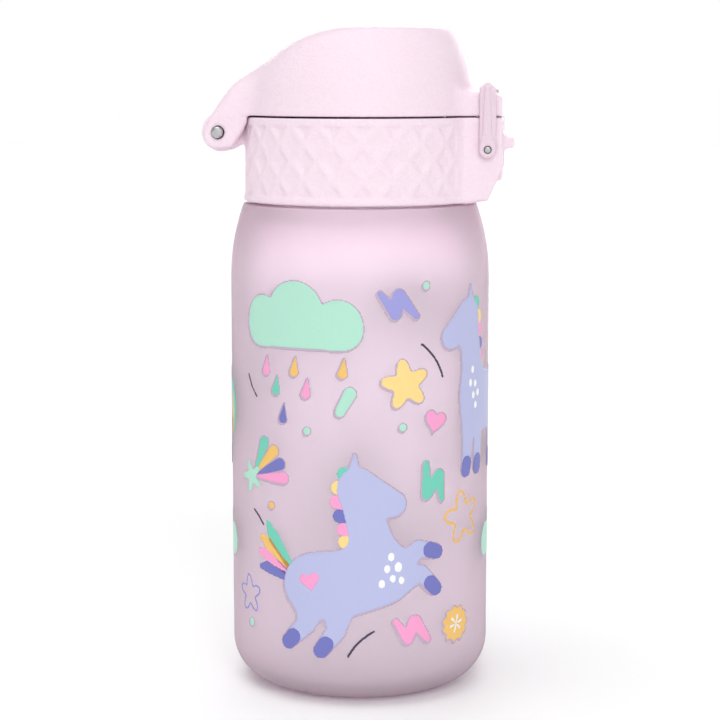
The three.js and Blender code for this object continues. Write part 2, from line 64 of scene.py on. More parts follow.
CAMERA_DISTANCE = 517.1
CAMERA_HEIGHT = 153.0
CAMERA_AZIMUTH = 5.0  # degrees towards the latch
CAMERA_PITCH = 7.87  # degrees down
CAMERA_LENS = 102.65
SKY = 0.44  # how bright the surround is above the horizon

SEAM_GAP = 0.3  # between the cap and the collar
HINGE_DROP = 3.9  # from the seam down to the hinge's axis
FIT_GAP = 0.3  # between parts that move on each other
PIN_GAP = 0.2
HINGE_PIN_R = 1.4
LATCH_PIN_R = 0.8

BODY_WALL = 2.0
BASE_CORNER = 11.0
FOOT_RECESS = 1.5
SHOULDER_RISE = 18.5
LEDGE_EDGE = 0.6  # how far the shoulder's top stands outside the grip
NECK_INSET = 7.7  # from the body's side to the neck's
NECK_HEIGHT = 15.4
NECK_WALL = 2.2
THREAD_PITCH = 4.0
THREAD_DEPTH = 1.2
THREAD_START = 4.5  # above the ledge that the lid sits on
NECK_TURNS = 1.75
LID_TURNS = 1.5

COLLAR_WALL = 2.27
SPIGOT_STEP = 0.4  # the collar's wall is thicker by this above the deck
RIM_STEP = 0.33
RIM_HEIGHT = 1.6
DECK_THICKNESS = 2.2
SPOUT_RISE = 15.8  # above the deck
BARREL_R = 4.9  # the hinge lug's round end
LUG_HALF = 6.5
COIL_ROOM = 3.25  # half the slot in the lug for its spring
LATCH_HALF = 12.2
CHEEK = 2.0  # the latch housing's side walls

CAP_WALL = 2.2
CAP_INSET = 0.37  # from the grip to the cap's lower edge
CAP_TOP_INSET = 5.57
CROWN_X = -1.2  # where the crown starts to fall
CROWN_R = 29.5
CROWN_SLOPE = 33  # degrees, behind the crown's curve
ARM_IN = 6.8
ARM_OUT = 11.9
KNUCKLE_R = 4.1
TAB_RISE = 5.95  # above the seam
TAB_WALL = 1.34
HOOK_LEDGE = 1.0  # how thick the ledge is that the button's hook holds
HOOK_REACH = 0.9


def span(node):
    """A CAD node's lowest and highest corners, in millimetres."""
    low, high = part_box(node)
    return low / MM, high / MM


def middle_x(node):
    """The X of a CAD node's middle, in millimetres."""
    low, high = span(node)
    return (low.x + high.x) / 2


def axis_of(joint):
    """The X and Z of a joint's axis, in millimetres."""
    found = next(j for j in frame["joints"] if j["name"] == joint)
    return found["pos_m"][0] / MM, found["pos_m"][2] / MM


BODY_R = span("bottle_body")[1].x
RIM_Z = span("bottle_body")[1].z
LEDGE_Z = RIM_Z - NECK_HEIGHT
NECK_R = BODY_R - NECK_INSET
COLLAR_LOW = span("collar")[0].z
GRIP_R = span("collar")[1].y - RIM_STEP
CAP_TOP = span("flip_cap")[1].z
TAB_FRONT = span("flip_cap")[1].x
FACE = span("collar")[1].x
HINGE_X, HINGE_Z = axis_of("cap_hinge")
SEAM = HINGE_Z + HINGE_DROP
COLLAR_TOP = SEAM - SEAM_GAP / 2
CAP_LOW = SEAM + SEAM_GAP / 2
BAIL_X, BAIL_Z = axis_of("bail_swing")
ROCKER_X, ROCKER_Z = axis_of("button_rock")
BAIL_OUT = span("lock_bail")[1].y
SPOUT_TOP = span("drinking_spout")[1].z
DECK_TOP = SPOUT_TOP - SPOUT_RISE
DECK_LOW = DECK_TOP - DECK_THICKNESS
SPOUT_X = middle_x("drinking_spout")
VALVE_X = middle_x("air_valve")
COLLAR_BORE = GRIP_R - COLLAR_WALL
TAB_TOP = SEAM + TAB_RISE
TAB_BACK = TAB_FRONT - TAB_WALL  # the inner side of the tab's front wall
BUTTON_HALF = LATCH_HALF - CHEEK - FIT_GAP


# ---- Camera, floor and light ----


def camera():
    """A long lens, a little above the lid and turned a little towards the latch."""
    data = bpy.data.cameras.new("camera")
    data.lens = CAMERA_LENS
    data.sensor_width = 36
    data.clip_start = 0.01
    obj = bpy.data.objects.new("camera", data)
    turn = math.radians(CAMERA_AZIMUTH)
    obj.location = (
        CAMERA_DISTANCE * MM * math.sin(turn),
        -CAMERA_DISTANCE * MM * math.cos(turn),
        CAMERA_HEIGHT * MM,
    )
    obj.rotation_euler = (math.radians(90 - CAMERA_PITCH), 0, turn)
    bpy.context.scene.collection.objects.link(obj)
    bpy.context.scene.camera = obj


def sun(name, azimuth, elevation, share, spread):
    """A soft sun, with angles in degrees. Share is how bright it makes a white surface that faces it."""
    data = bpy.data.lights.new(name, "SUN")
    data.energy = share * math.pi
    data.angle = math.radians(spread)
    obj = bpy.data.objects.new(name, data)
    obj.rotation_euler = (math.radians(90 - elevation), 0, math.radians(azimuth))
    bpy.context.scene.collection.objects.link(obj)


def studio():
    """An even pale surround, whiter at the horizon, with soft light from the front and above."""
    world = bpy.data.worlds.new("studio")
    world.use_nodes = True
    tree = world.node_tree
    place = tree.nodes.new("ShaderNodeTexCoord")
    parts = tree.nodes.new("ShaderNodeSeparateXYZ")
    ramp = tree.nodes.new("ShaderNodeValToRGB")
    ramp.color_ramp.elements[0].position = 0.1
    ramp.color_ramp.elements[0].color = (1, 1, 1, 1)
    ramp.color_ramp.elements[1].position = 0.3
    ramp.color_ramp.elements[1].color = (SKY, SKY, SKY, 1)
    background = tree.nodes["Background"]
    background.inputs["Strength"].default_value = 1.0
    tree.links.new(place.outputs["Generated"], parts.inputs["Vector"])
    tree.links.new(parts.outputs["Z"], ramp.inputs["Fac"])
    tree.links.new(ramp.outputs["Color"], background.inputs["Color"])
    bpy.context.scene.world = world
    bpy.context.scene.view_settings.view_transform = "Standard"
    sun("key", CAMERA_AZIMUTH + 8, elevation=30, share=0.33, spread=35)
    sun("top", -60, elevation=80, share=0.37, spread=50)
    sun("back", 180, elevation=2, share=0.7, spread=50)


def floor():
    """A plain pale floor, wide enough to reach the horizon."""
    mesh = bpy.data.meshes.new("floor")
    half = 4.0
    corners = [(-half, -half, 0), (half, -half, 0), (half, half, 0), (-half, half, 0)]
    mesh.from_pydata(corners, [], [(0, 1, 2, 3)])
    obj = bpy.data.objects.new("floor", mesh)
    bpy.context.scene.collection.objects.link(obj)
    material = bpy.data.materials.new("floor")
    material.use_nodes = True
    shader = material.node_tree.nodes["Principled BSDF"]
    shader.inputs["Base Color"].default_value = (0.97, 0.97, 0.97, 1)
    shader.inputs["Roughness"].default_value = 0.9
    shader.inputs["Specular IOR Level"].default_value = 0.1
    mesh.materials.append(material)


# ---- Outlines ----


def arc(cx, cz, radius, start, end, steps=8):
    """Points on a circular arc, angles in degrees."""
    angles = np.radians(np.linspace(start, end, steps + 1))
    return [(cx + radius * math.cos(a), cz + radius * math.sin(a)) for a in angles]


def rounded(corners, steps=6):
    """A closed outline from (x, z) or (x, z, radius) corners, each turned by an arc of its radius."""
    points = []
    count = len(corners)
    for i, corner in enumerate(corners):
        here = np.array(corner[:2], float)
        radius = corner[2] if len(corner) > 2 else 0
        if not radius:
            points.append(tuple(here))
            continue
        back = np.array(corners[i - 1][:2], float) - here
        ahead = np.array(corners[(i + 1) % count][:2], float) - here
        back_length, ahead_length = np.linalg.norm(back), np.linalg.norm(ahead)
        back, ahead = back / back_length, ahead / ahead_length
        half = math.acos(np.clip(back @ ahead, -1, 1)) / 2
        reach = min(radius / math.tan(half), 0.49 * back_length, 0.49 * ahead_length)
        radius = reach * math.tan(half)
        middle = (back + ahead) / np.linalg.norm(back + ahead)
        centre = here + middle * radius / math.sin(half)
        first, last = here + back * reach - centre, here + ahead * reach - centre
        a = math.atan2(first[1], first[0])
        turn = (math.atan2(last[1], last[0]) - a + math.pi) % (2 * math.pi) - math.pi
        for k in range(steps + 1):
            at = a + turn * k / steps
            points.append((centre[0] + radius * math.cos(at), centre[1] + radius * math.sin(at)))
    return points


def bezier(a, b, c, steps=8):
    """Points on a curve from a to c that is pulled towards b."""
    a, b, c = (np.array(p, float) for p in (a, b, c))
    ts = np.linspace(0, 1, steps + 1)
    return [tuple((1 - t) ** 2 * a + 2 * t * (1 - t) * b + t * t * c) for t in ts]


# ---- Solids as distance fields: negative inside, in millimetres ----


def outline_distance(px, pz, outline):
    """Signed distance from points to a closed outline."""
    nearest = np.full(np.broadcast(px, pz).shape, 1e9, np.float32)
    inside = np.zeros(nearest.shape, bool)
    for (ax, az), (bx, bz) in zip(outline, outline[1:] + outline[:1]):
        ex, ez = bx - ax, bz - az
        length = ex * ex + ez * ez
        if length < 1e-12:
            continue
        t = np.clip(((px - ax) * ex + (pz - az) * ez) / length, 0, 1)
        nearest = np.minimum(nearest, (px - ax - t * ex) ** 2 + (pz - az - t * ez) ** 2)
        if az != bz:
            crosses = ((az > pz) != (bz > pz)) & (px < ex * (pz - az) / (bz - az) + ax)
            inside ^= crosses
    distance = np.sqrt(nearest)
    return np.where(inside, -distance, distance).astype(np.float32)


def join(a, b, blend=0.0):
    """The union, with a fillet in the corner. The blend is one size, or a size at each point."""
    if np.ndim(blend) == 0 and blend == 0:
        return np.minimum(a, b)
    h = np.clip(0.5 + 0.5 * (b - a) / blend, 0, 1)
    return b * (1 - h) + a * h - blend * h * (1 - h)


def keep(a, b, blend=0.0):
    """What is in both, with rounded edges."""
    return -join(-a, -b, blend)


def cut(a, b, blend=0.0):
    """a without b."""
    return keep(a, -b, blend)


def surface(field, band):
    """The points and four-sided faces of a field's zero surface, in samples from its corner."""
    grid = openvdb.FloatGrid(band)
    grid.copyFromArray(np.ascontiguousarray(np.clip(field, -band, band), np.float32))
    points, _, quads = grid.convertToPolygons(isovalue=0.0, adaptivity=0.0)
    return points, quads


def softened(points, quads, rounds=2, amount=0.5):
    """Moves each point towards its neighbours, so that sharp edges lose the steps of the sampling."""
    start = quads.ravel()
    end = np.roll(quads, -1, axis=1).ravel()
    count = np.maximum(np.bincount(start, minlength=len(points)), 1)[:, None]
    for _ in range(rounds):
        total = [np.bincount(start, points[end, axis], minlength=len(points)) for axis in range(3)]
        points = points + amount * (np.stack(total, axis=1) / count - points)
    return points


class Block:
    """A block of sample points, and the distance fields on it."""

    def __init__(self, low, high, pitch):
        self.low, self.pitch = np.array(low, np.float32), pitch
        axes = [np.arange(a, b + pitch, pitch, dtype=np.float32) for a, b in zip(low, high)]
        self.x, self.y, self.z = axes[0][:, None, None], axes[1][None, :, None], axes[2][None, None, :]

    def turned(self, outline):
        """A solid of revolution about the bottle's axis, from an outline in radius and height."""
        radius = np.hypot(self.x, self.y)[:, :, 0]
        step = self.pitch / 2
        radii = np.arange(0, radius.max() + 2 * step, step, dtype=np.float32)
        table = outline_distance(radii[:, None], self.z[0, 0][None, :], outline)
        at = radius / step
        low = at.astype(int)
        part = (at - low)[:, :, None].astype(np.float32)
        return table[low] * (1 - part) + table[low + 1] * part

    def side(self, outline):
        """An outline in the X-Z plane, endless along Y."""
        return outline_distance(self.x[:, 0], self.z[0], outline)[:, None, :]

    def slab(self, outline, low, high, edge=0.0):
        """An outline in the X-Z plane between two planes across Y, with its edges rounded."""
        flat = self.side(outline) + edge
        across = np.maximum(low - self.y, self.y - high) + edge
        outer = np.sqrt(np.maximum(flat, 0) ** 2 + np.maximum(across, 0) ** 2)
        return outer + np.minimum(np.maximum(flat, across), 0) - edge

    def box(self, x0, x1, y0, y1, z0, z1):
        """A box with sharp edges."""
        return np.maximum(
            np.maximum(np.maximum(x0 - self.x, self.x - x1), np.maximum(y0 - self.y, self.y - y1)),
            np.maximum(z0 - self.z, self.z - z1),
        )

    def bar_y(self, x, z, radius):
        """An endless round bar along Y."""
        return np.hypot(self.x - x, self.z - z) - radius

    def bar_z(self, x, radius):
        """An endless upright round bar."""
        return np.hypot(self.x - x, self.y) - radius

    def piece(self, name, field):
        """The field's zero surface as a Blender object."""
        full = np.broadcast_to(field, np.broadcast(self.x, self.y, self.z).shape)
        points, quads = surface(full, 3 * self.pitch)
        return mesh_object(name, softened(points, quads) * self.pitch + self.low, quads)


def mesh_object(name, points, quads, triangles=()):
    """A smooth-shaded object from points in millimetres and faces, turned to face outwards."""
    points = np.asarray(points, np.float64) * MM
    triangles = np.asarray(triangles, np.int64).reshape(-1, 3)
    quads = np.asarray(quads, np.int64).reshape(-1, 4)
    volume = 0
    for corners in (triangles, quads[:, [0, 1, 2]], quads[:, [0, 2, 3]]):
        a, b, c = (points[corners[:, k]] for k in range(3))
        volume += np.einsum("ij,ij->i", a, np.cross(b, c)).sum()
    if volume < 0:
        triangles, quads = triangles[:, ::-1], quads[:, ::-1]
    mesh = bpy.data.meshes.new(name)
    mesh.vertices.add(len(points))
    mesh.vertices.foreach_set("co", points.astype(np.float32).ravel())
    loops = np.concatenate([triangles.ravel(), quads.ravel()])
    mesh.loops.add(len(loops))
    mesh.loops.foreach_set("vertex_index", loops.astype(np.int32))
    sizes = np.concatenate([np.full(len(triangles), 3), np.full(len(quads), 4)])
    mesh.polygons.add(len(sizes))
    starts = np.concatenate([[0], np.cumsum(sizes)[:-1]])
    mesh.polygons.foreach_set("loop_start", starts.astype(np.int32))
    mesh.update(calc_edges=True)
    mesh.validate()
    mesh.shade_smooth()
    obj = bpy.data.objects.new(name, mesh)
    bpy.context.scene.collection.objects.link(obj)
    return obj


def lathe(name, outline, x=0.0, segments=128, bump=None, along="z", at=(0, 0)):
    """A solid of revolution, from an outline in radius and height that closes on itself or starts
    and ends on the axis. It stands on a vertical axis at x, or along Y at (x, z). The bump is a
    change of radius."""
    closed = outline[0][0] > 1e-6
    profile = np.array(outline, float)
    rings = np.repeat(profile[:, None, :], segments, axis=1)
    angles = np.linspace(0, 2 * np.pi, segments, endpoint=False)
    if bump is not None:
        rings[:, :, 0] += bump(rings[:, :, 0], rings[:, :, 1], angles[None, :])
    px, py = rings[:, :, 0] * np.cos(angles), rings[:, :, 0] * np.sin(angles)
    points = np.stack([px, py, rings[:, :, 1]], axis=2).reshape(-1, 3)
    count = len(profile)
    rows = range(count) if closed else range(count - 1)
    faces = []
    column = np.arange(segments)
    following = (column + 1) % segments
    for row in rows:
        a, b = row * segments, ((row + 1) % count) * segments
        faces.append(np.stack([a + column, a + following, b + following, b + column], axis=1))
    quads = np.concatenate(faces)
    if along == "y":
        points = points[:, [0, 2, 1]] * (1, 1, -1) + (at[0], 0, at[1])
    else:
        points = points + (x, 0, 0)
    obj = mesh_object(name, points, quads)
    if not closed:
        merge_close(obj)
    return obj


def merge_close(obj):
    """Joins the points that meet on an axis."""
    work = bmesh.new()
    work.from_mesh(obj.data)
    bmesh.ops.remove_doubles(work, verts=work.verts, dist=1e-6)
    work.to_mesh(obj.data)
    work.free()


def tube(name, path, radius, sides=12):
    """A round wire along a path, with flat ends."""
    path = np.array(path, float)
    tangents = np.gradient(path, axis=0)
    tangents /= np.linalg.norm(tangents, axis=1)[:, None]
    normal = np.cross(tangents[0], (0.3, 0.5, 0.81))
    rings = []
    for tangent in tangents:
        normal = normal - tangent * (normal @ tangent)
        normal /= np.linalg.norm(normal)
        other = np.cross(tangent, normal)
        angles = np.linspace(0, 2 * np.pi, sides, endpoint=False)
        rings.append(radius * (np.outer(np.cos(angles), normal) + np.outer(np.sin(angles), other)))
    points = (path[:, None, :] + np.array(rings)).reshape(-1, 3)
    column = np.arange(sides)
    following = (column + 1) % sides
    faces = [
        np.stack([r * sides + column, r * sides + following,
                  (r + 1) * sides + following, (r + 1) * sides + column], axis=1)
        for r in range(len(path) - 1)
    ]
    ends = []
    for base, centre in ((0, len(points)), ((len(path) - 1) * sides, len(points) + 1)):
        order = (following, column) if base == 0 else (column, following)
        ends.append(np.stack([base + order[0], base + order[1], np.full(sides, centre)], axis=1))
    points = np.concatenate([points, path[[0, -1]]])
    return mesh_object(name, points, np.concatenate(faces), np.concatenate(ends))


# ---- Flip cap ----


def cap_side(inset=0.0):
    """The cap's side in radius and height, from below the seam to above the top."""
    low = GRIP_R - CAP_INSET - inset
    high = low - 0.95
    top = (GRIP_R - CAP_TOP_INSET - inset, CAP_TOP - 0.8)
    curve = bezier((high, SEAM + 8), (high - 1.35, SEAM + 16.4), top)
    steep = (top[0] - 3.6, top[1] + 6)
    below = SEAM - 30
    return [(-FAR, below), (low + 0.05, below), (low, CAP_LOW), *curve, steep, (-FAR, steep[1])]


def crown_curve(inset=0.0, steps=12):
    """The crown's arc in the X-Z plane, and the height at any x of the slope behind it."""
    radius = CROWN_R - inset
    curve = arc(CROWN_X, CAP_TOP - inset - radius, radius, 90, 90 + CROWN_SLOPE, steps)
    end_x, end_z = curve[-1]
    slope = math.tan(math.radians(CROWN_SLOPE))
    return curve, lambda x: end_z + slope * (x - end_x)


def crown(inset):
    """The crown in the X-Z plane, moved inwards: flat in front, and falling to the hinge behind."""
    curve, height = crown_curve(inset, 10)
    below = SEAM - 30
    return [(FAR, below), (FAR, CAP_TOP - inset), *curve, (-FAR, height(-FAR)), (-FAR, below)]


def cap_top_outline():
    """The top of the whole cap in the X-Z plane: the crown, the fall to the hinge and the knee."""
    curve, height = crown_curve()
    knee_x = HINGE_X + 3.15
    knuckle_x, knuckle_z = arc(HINGE_X, HINGE_Z, KNUCKLE_R, 153, 160, 1)[0]
    steep = (SEAM + 6.7 - knuckle_z) / (knee_x - knuckle_x)
    below = SEAM - 60
    return rounded([
        (FAR, below),
        (FAR, CAP_TOP),
        *curve,
        (knee_x, height(knee_x), 9),
        (knuckle_x - 6, knuckle_z - 6 * steep),
        (knuckle_x - 6, below),
    ])


def arms_outline():
    """The hinge arms in the X-Z plane, open upwards: their back, knuckle and heel."""
    knuckle = arc(HINGE_X, HINGE_Z, KNUCKLE_R, 153, 262, 14)
    inside_x, above = -14, SEAM + 30
    return rounded([
        (HINGE_X - 4, above),
        *knuckle,
        (HINGE_X + 3.5, HINGE_Z - 3.8, 1.2),
        (HINGE_X + 8.4, SEAM + 0.5, 0.6),
        (inside_x, SEAM + 0.5),
        (inside_x, above),
    ])


def tab_outline():
    """The tab over the latch, in the X-Z plane. The bail rests on its top."""
    inside_x, nose = 16, SEAM + 5.2
    return rounded([
        (inside_x, CAP_LOW),
        (TAB_FRONT, CAP_LOW, 0.2),
        (TAB_FRONT, nose, 1.0),
        (BAIL_X + 2.15, nose, 0.3),
        (BAIL_X + 1.5, TAB_TOP, 0.3),
        (inside_x, TAB_TOP),
    ])


def flip_cap():
    """The dome, its hinge arms and its tab, hollow, with room for the lug and the button's hook."""
    grid = Block((-39.2, -29.6, SEAM - 9.0), (36.8, 29.6, CAP_TOP + 1.0), 0.39)
    out = np.hypot(grid.x, grid.y)
    below_seam = grid.z - CAP_LOW

    arms = grid.slab(arms_outline(), -ARM_OUT, ARM_OUT, 0.9)
    softer_behind = np.clip((6 - grid.x) / 14, 0, 1) * 3.2 + 0.8
    body = join(grid.turned(cap_side()), arms, 4.0)
    body = keep(body, grid.side(cap_top_outline()), softer_behind)
    body = join(body, grid.slab(tab_outline(), -LATCH_HALF, LATCH_HALF, 0.5), 3.6)

    # Below the seam only the arms are left, behind the collar.
    body = cut(body, np.maximum(below_seam, out - GRIP_R - 0.35), 0.12)
    body = cut(body, np.maximum(below_seam, -grid.x), 0.2)
    body = cut(body, np.maximum(np.maximum(below_seam, grid.x), 0.05 - arms), 0.3)

    hollow = keep(grid.turned(cap_side(CAP_WALL)), grid.side(crown(CAP_WALL)), 3.0)
    body = cut(body, hollow, 0.3)
    hook_half = 7
    pocket = grid.box(GRIP_R + 0.9, TAB_BACK, -hook_half, hook_half, SEAM - 5, CAP_LOW + 3.9)
    body = cut(body, pocket)
    ledge_top = CAP_LOW + HOOK_LEDGE
    ledge = grid.box(TAB_BACK - 1.2, TAB_BACK + 0.3, -hook_half, hook_half, CAP_LOW, ledge_top)
    body = join(body, ledge)

    # Room for the lug between the arms, and the pin's bore.
    roof = HINGE_Z + BARREL_R + 0.9
    between = [
        (HINGE_X - 8, HINGE_Z - 8), (1.4 - GRIP_R, HINGE_Z - 8), (1.4 - GRIP_R, CAP_LOW),
        (-GRIP_R - 1.2, CAP_LOW), (HINGE_X + 2.2, roof), (HINGE_X - 8, roof),
    ]
    body = cut(body, grid.slab(between, -ARM_IN, ARM_IN), 0.4)
    barrel_room = grid.bar_y(HINGE_X, HINGE_Z, BARREL_R + FIT_GAP)
    body = cut(body, np.maximum(barrel_room, np.abs(grid.y) - ARM_IN), 0.4)
    body = cut(body, grid.bar_y(HINGE_X, HINGE_Z, HINGE_PIN_R + PIN_GAP), 0.2)

    # The post that the plug's disc is pressed on.
    post = np.maximum(SPOUT_TOP + 2.6 - grid.z, grid.z - CAP_TOP + 1)
    body = join(body, np.maximum(grid.bar_z(SPOUT_X, 2.5), post), 0.6)
    return grid.piece("cap_shell", body)


# ---- Collar ----


def quilt(grid):
    """How deep the grip's diamonds are pressed in, at each point round the collar."""
    wide, tall = 7.4, 8.6
    half_tall = 8.55
    angle = np.arctan2(np.abs(grid.y), grid.x)[:, :, 0]
    along = (angle - np.pi / 2) * GRIP_R
    start, end = -GRIP_R * math.radians(60.3), GRIP_R * math.radians(74)
    s = along[:, :, None]
    v = grid.z - (SEAM - 10.45)
    cell = np.abs(((s + 3.2) / wide) % 1 - 0.5) * 2
    row = np.abs((v / tall + 0.5) % 1 - 0.5) * 2
    first = (1 - cell) + row
    second = cell + (1 - row)
    pressed = np.clip((0.92 - np.minimum(first, second)) / 0.5, 0, 1)
    pressed = pressed * pressed * (3 - 2 * pressed)
    depth = np.where(first < second, 0.6, 0.35)

    # The pattern ends in a frame with round corners.
    beside, beyond = np.minimum(s - start, end - s), half_tall - np.abs(v)
    corner = 2.5
    across = np.maximum(corner - beside, 0)
    down = np.maximum(corner - beyond, 0)
    round_reach = corner - np.hypot(across, down)
    reach = np.where((across > 0) & (down > 0), round_reach, np.minimum(beside, beyond))
    return pressed * depth * np.clip(reach / 0.25, 0, 1)


def collar():
    """The screw collar: quilted wall, deck, latch housing and hinge lug, with its inner thread."""
    top = HINGE_Z + BARREL_R + 0.8
    grid = Block((-39.8, -29.8, COLLAR_LOW - 0.8), (36.6, 29.8, top), 0.4)
    out = np.hypot(grid.x, grid.y)
    spigot = COLLAR_BORE - SPIGOT_STEP
    lip = GRIP_R + RIM_STEP
    wall = grid.turned(rounded([
        (COLLAR_BORE, COLLAR_LOW, 0.2),
        (lip, COLLAR_LOW, 0.45),
        (lip, COLLAR_LOW + RIM_HEIGHT, 0.25),
        (GRIP_R, COLLAR_LOW + RIM_HEIGHT + RIM_STEP, 0.3),
        (GRIP_R, COLLAR_TOP, 0.15),
        (COLLAR_BORE, COLLAR_TOP, 0.3),
        (spigot, COLLAR_TOP - 1),
        (spigot, DECK_TOP),
        (-FAR, DECK_TOP),
        (-FAR, DECK_LOW),
        (COLLAR_BORE, DECK_LOW),
    ]))
    wall = wall + quilt(grid) * (out > GRIP_R - 1)
    housing_x, housing_low = COLLAR_BORE + 1.2, SEAM - 20.5
    housing = grid.slab(rounded([
        (housing_x, COLLAR_TOP),
        (FACE, COLLAR_TOP, 0.3),
        (FACE, SEAM - 12.66, 0.8),
        (GRIP_R + 3.5, housing_low, 0.3),
        (housing_x, housing_low),
    ]), -LATCH_HALF, LATCH_HALF, 0.45)
    body = join(wall, housing, 4.2)

    web_x, web_top, web_low = -COLLAR_BORE - 1, HINGE_Z + 1.8, SEAM - 6.8
    lug = grid.slab(rounded([
        (HINGE_X, web_top), (HINGE_X + 5, COLLAR_TOP), (web_x, COLLAR_TOP),
        (web_x, web_low), (HINGE_X, web_low),
    ]), -LUG_HALF, LUG_HALF, 0.3)
    barrel = grid.slab(arc(HINGE_X, HINGE_Z, BARREL_R, 0, 350, 35), -LUG_HALF, LUG_HALF, 0.4)
    body = join(body, join(lug, barrel, 0.8), 1.0)

    # The flat ends, and the hollow below and above the deck.
    body = cut(body, np.maximum(COLLAR_TOP - grid.z, -GRIP_R - 0.3 - grid.x), 0.2)
    body = keep(body, COLLAR_LOW - grid.z, 0.2)
    body = cut(body, np.maximum(out - COLLAR_BORE, grid.z - DECK_LOW))
    body = cut(body, np.maximum(out - COLLAR_BORE + SPIGOT_STEP, DECK_TOP - grid.z), 0.2)

    # Room for the button, its trunnions and the bail's pin.
    half = LATCH_HALF - CHEEK
    cavity = grid.box(GRIP_R + FIT_GAP, FACE + 5, -half, half, SEAM - 15.8, SEAM + 5)
    body = cut(body, cavity, 0.3)
    trunnion_room = grid.bar_y(ROCKER_X, ROCKER_Z, 1.2)
    body = cut(body, np.maximum(trunnion_room, np.abs(grid.y) - LATCH_HALF + 0.6))
    body = cut(body, grid.bar_y(BAIL_X, BAIL_Z, LATCH_PIN_R + PIN_GAP))

    # Room for the hinge's spring and its leg, and the pin's bore.
    behind = HINGE_X - 6
    coil_room = grid.box(behind, HINGE_X + 2.45, -COIL_ROOM, COIL_ROOM, HINGE_Z - 3.15, web_top + 1)
    leg_room = grid.box(behind, HINGE_X + 5.9, -COIL_ROOM, COIL_ROOM, web_top, HINGE_Z + 6)
    body = cut(body, np.minimum(coil_room, leg_room), 0.2)
    body = cut(body, grid.bar_y(HINGE_X, HINGE_Z, HINGE_PIN_R + PIN_GAP), 0.2)

    body = join(body, lid_thread(grid))
    body = cut(body, grid.bar_z(SPOUT_X, 11.6), 0.2)
    body = cut(body, grid.bar_z(VALVE_X, 2.4), 0.2)
    return grid.piece("lid_collar", body)


def lid_thread(grid):
    """The ridge inside the collar that meets the neck's thread."""
    radius = np.hypot(grid.x, grid.y)
    turn = (np.arctan2(grid.y, grid.x) / (2 * np.pi)) % 1
    crest = COLLAR_BORE - THREAD_DEPTH
    half = 0.45 + (radius - crest) * 0.33
    ridge = np.full(np.broadcast(grid.x, grid.y, grid.z).shape, 9, np.float32)
    start = LEDGE_Z + THREAD_START - THREAD_PITCH / 2
    for lap in (0, 1):
        middle = start + THREAD_PITCH * (turn + lap)
        beyond = (turn + lap - LID_TURNS) * 60
        one = np.maximum(np.maximum(np.abs(grid.z - middle) - half, crest - radius), beyond)
        ridge = np.minimum(ridge, one)
    return np.maximum(ridge, radius - COLLAR_BORE - 0.5)


# ---- Latch button and lock bail ----


def latch_button():
    """The push button: a plate with a thumb nub, a hook above, and trunnions that it rocks on."""
    front = span("latch_button")[1].x
    face = FACE - 0.18
    back = face - 1.5
    low, top = SEAM - 15.5, SEAM - SEAM_GAP
    half = BUTTON_HALF
    grid = Block((29.6, -11.9, SEAM - 16.2), (front + 0.6, 11.9, SEAM + 4.2), 0.2)
    plate = grid.slab(rounded([
        (back, low, 0.2), (face, low, 0.5), (face, top, 0.4), (back, top, 0.1),
    ]), -half, half, 0.35)
    boss = grid.slab(arc(ROCKER_X, ROCKER_Z, 1.7, 0, 345, 23), -half, half, 0.2)
    trunnion = grid.slab(arc(ROCKER_X, ROCKER_Z, 1.0, 0, 345, 23), -half - 1.2, half + 1.2, 0.2)

    middle = SEAM - 6.4
    waist = face + (front - face) * 0.6
    nub = grid.slab(rounded([
        (face - 0.6, middle + 1.75),
        (face + 0.5, middle + 1.6, 0.6),
        (waist, middle + 1.3, 0.5),
        (front, middle + 1.25, 0.35),
        (front, middle - 1.25, 0.35),
        (waist, middle - 1.3, 0.5),
        (face + 0.5, middle - 1.6, 0.6),
        (face - 0.6, middle - 1.75),
    ]), -5.6, 5.6, 0.5)

    edge = TAB_BACK - FIT_GAP - 0.9
    stem = edge - FIT_GAP
    stem_back, root = stem - 1.6, back + 0.4
    catch = CAP_LOW + HOOK_LEDGE + FIT_GAP
    hook = grid.slab(rounded([
        (stem_back, top - 3.8, 0.2), (root, top - 3.8), (root, top, 0.1), (stem, top),
        (stem, catch), (edge + HOOK_REACH, catch, 0.1), (edge + HOOK_REACH, catch + 0.6, 0.2),
        (stem - 0.4, catch + 1.8, 0.2), (stem_back, catch + 1.8, 0.2),
    ]), -6, 6, 0.15)
    spring_seat = np.maximum(np.hypot(grid.y, grid.z - top + 1.9) - 1.75, grid.x - back + 0.7)

    body = join(join(plate, boss, 0.3), trunnion)
    body = join(body, nub, 1.8)
    body = join(body, cut(hook, spring_seat), 0.2)
    return grid.piece("push_button", body)


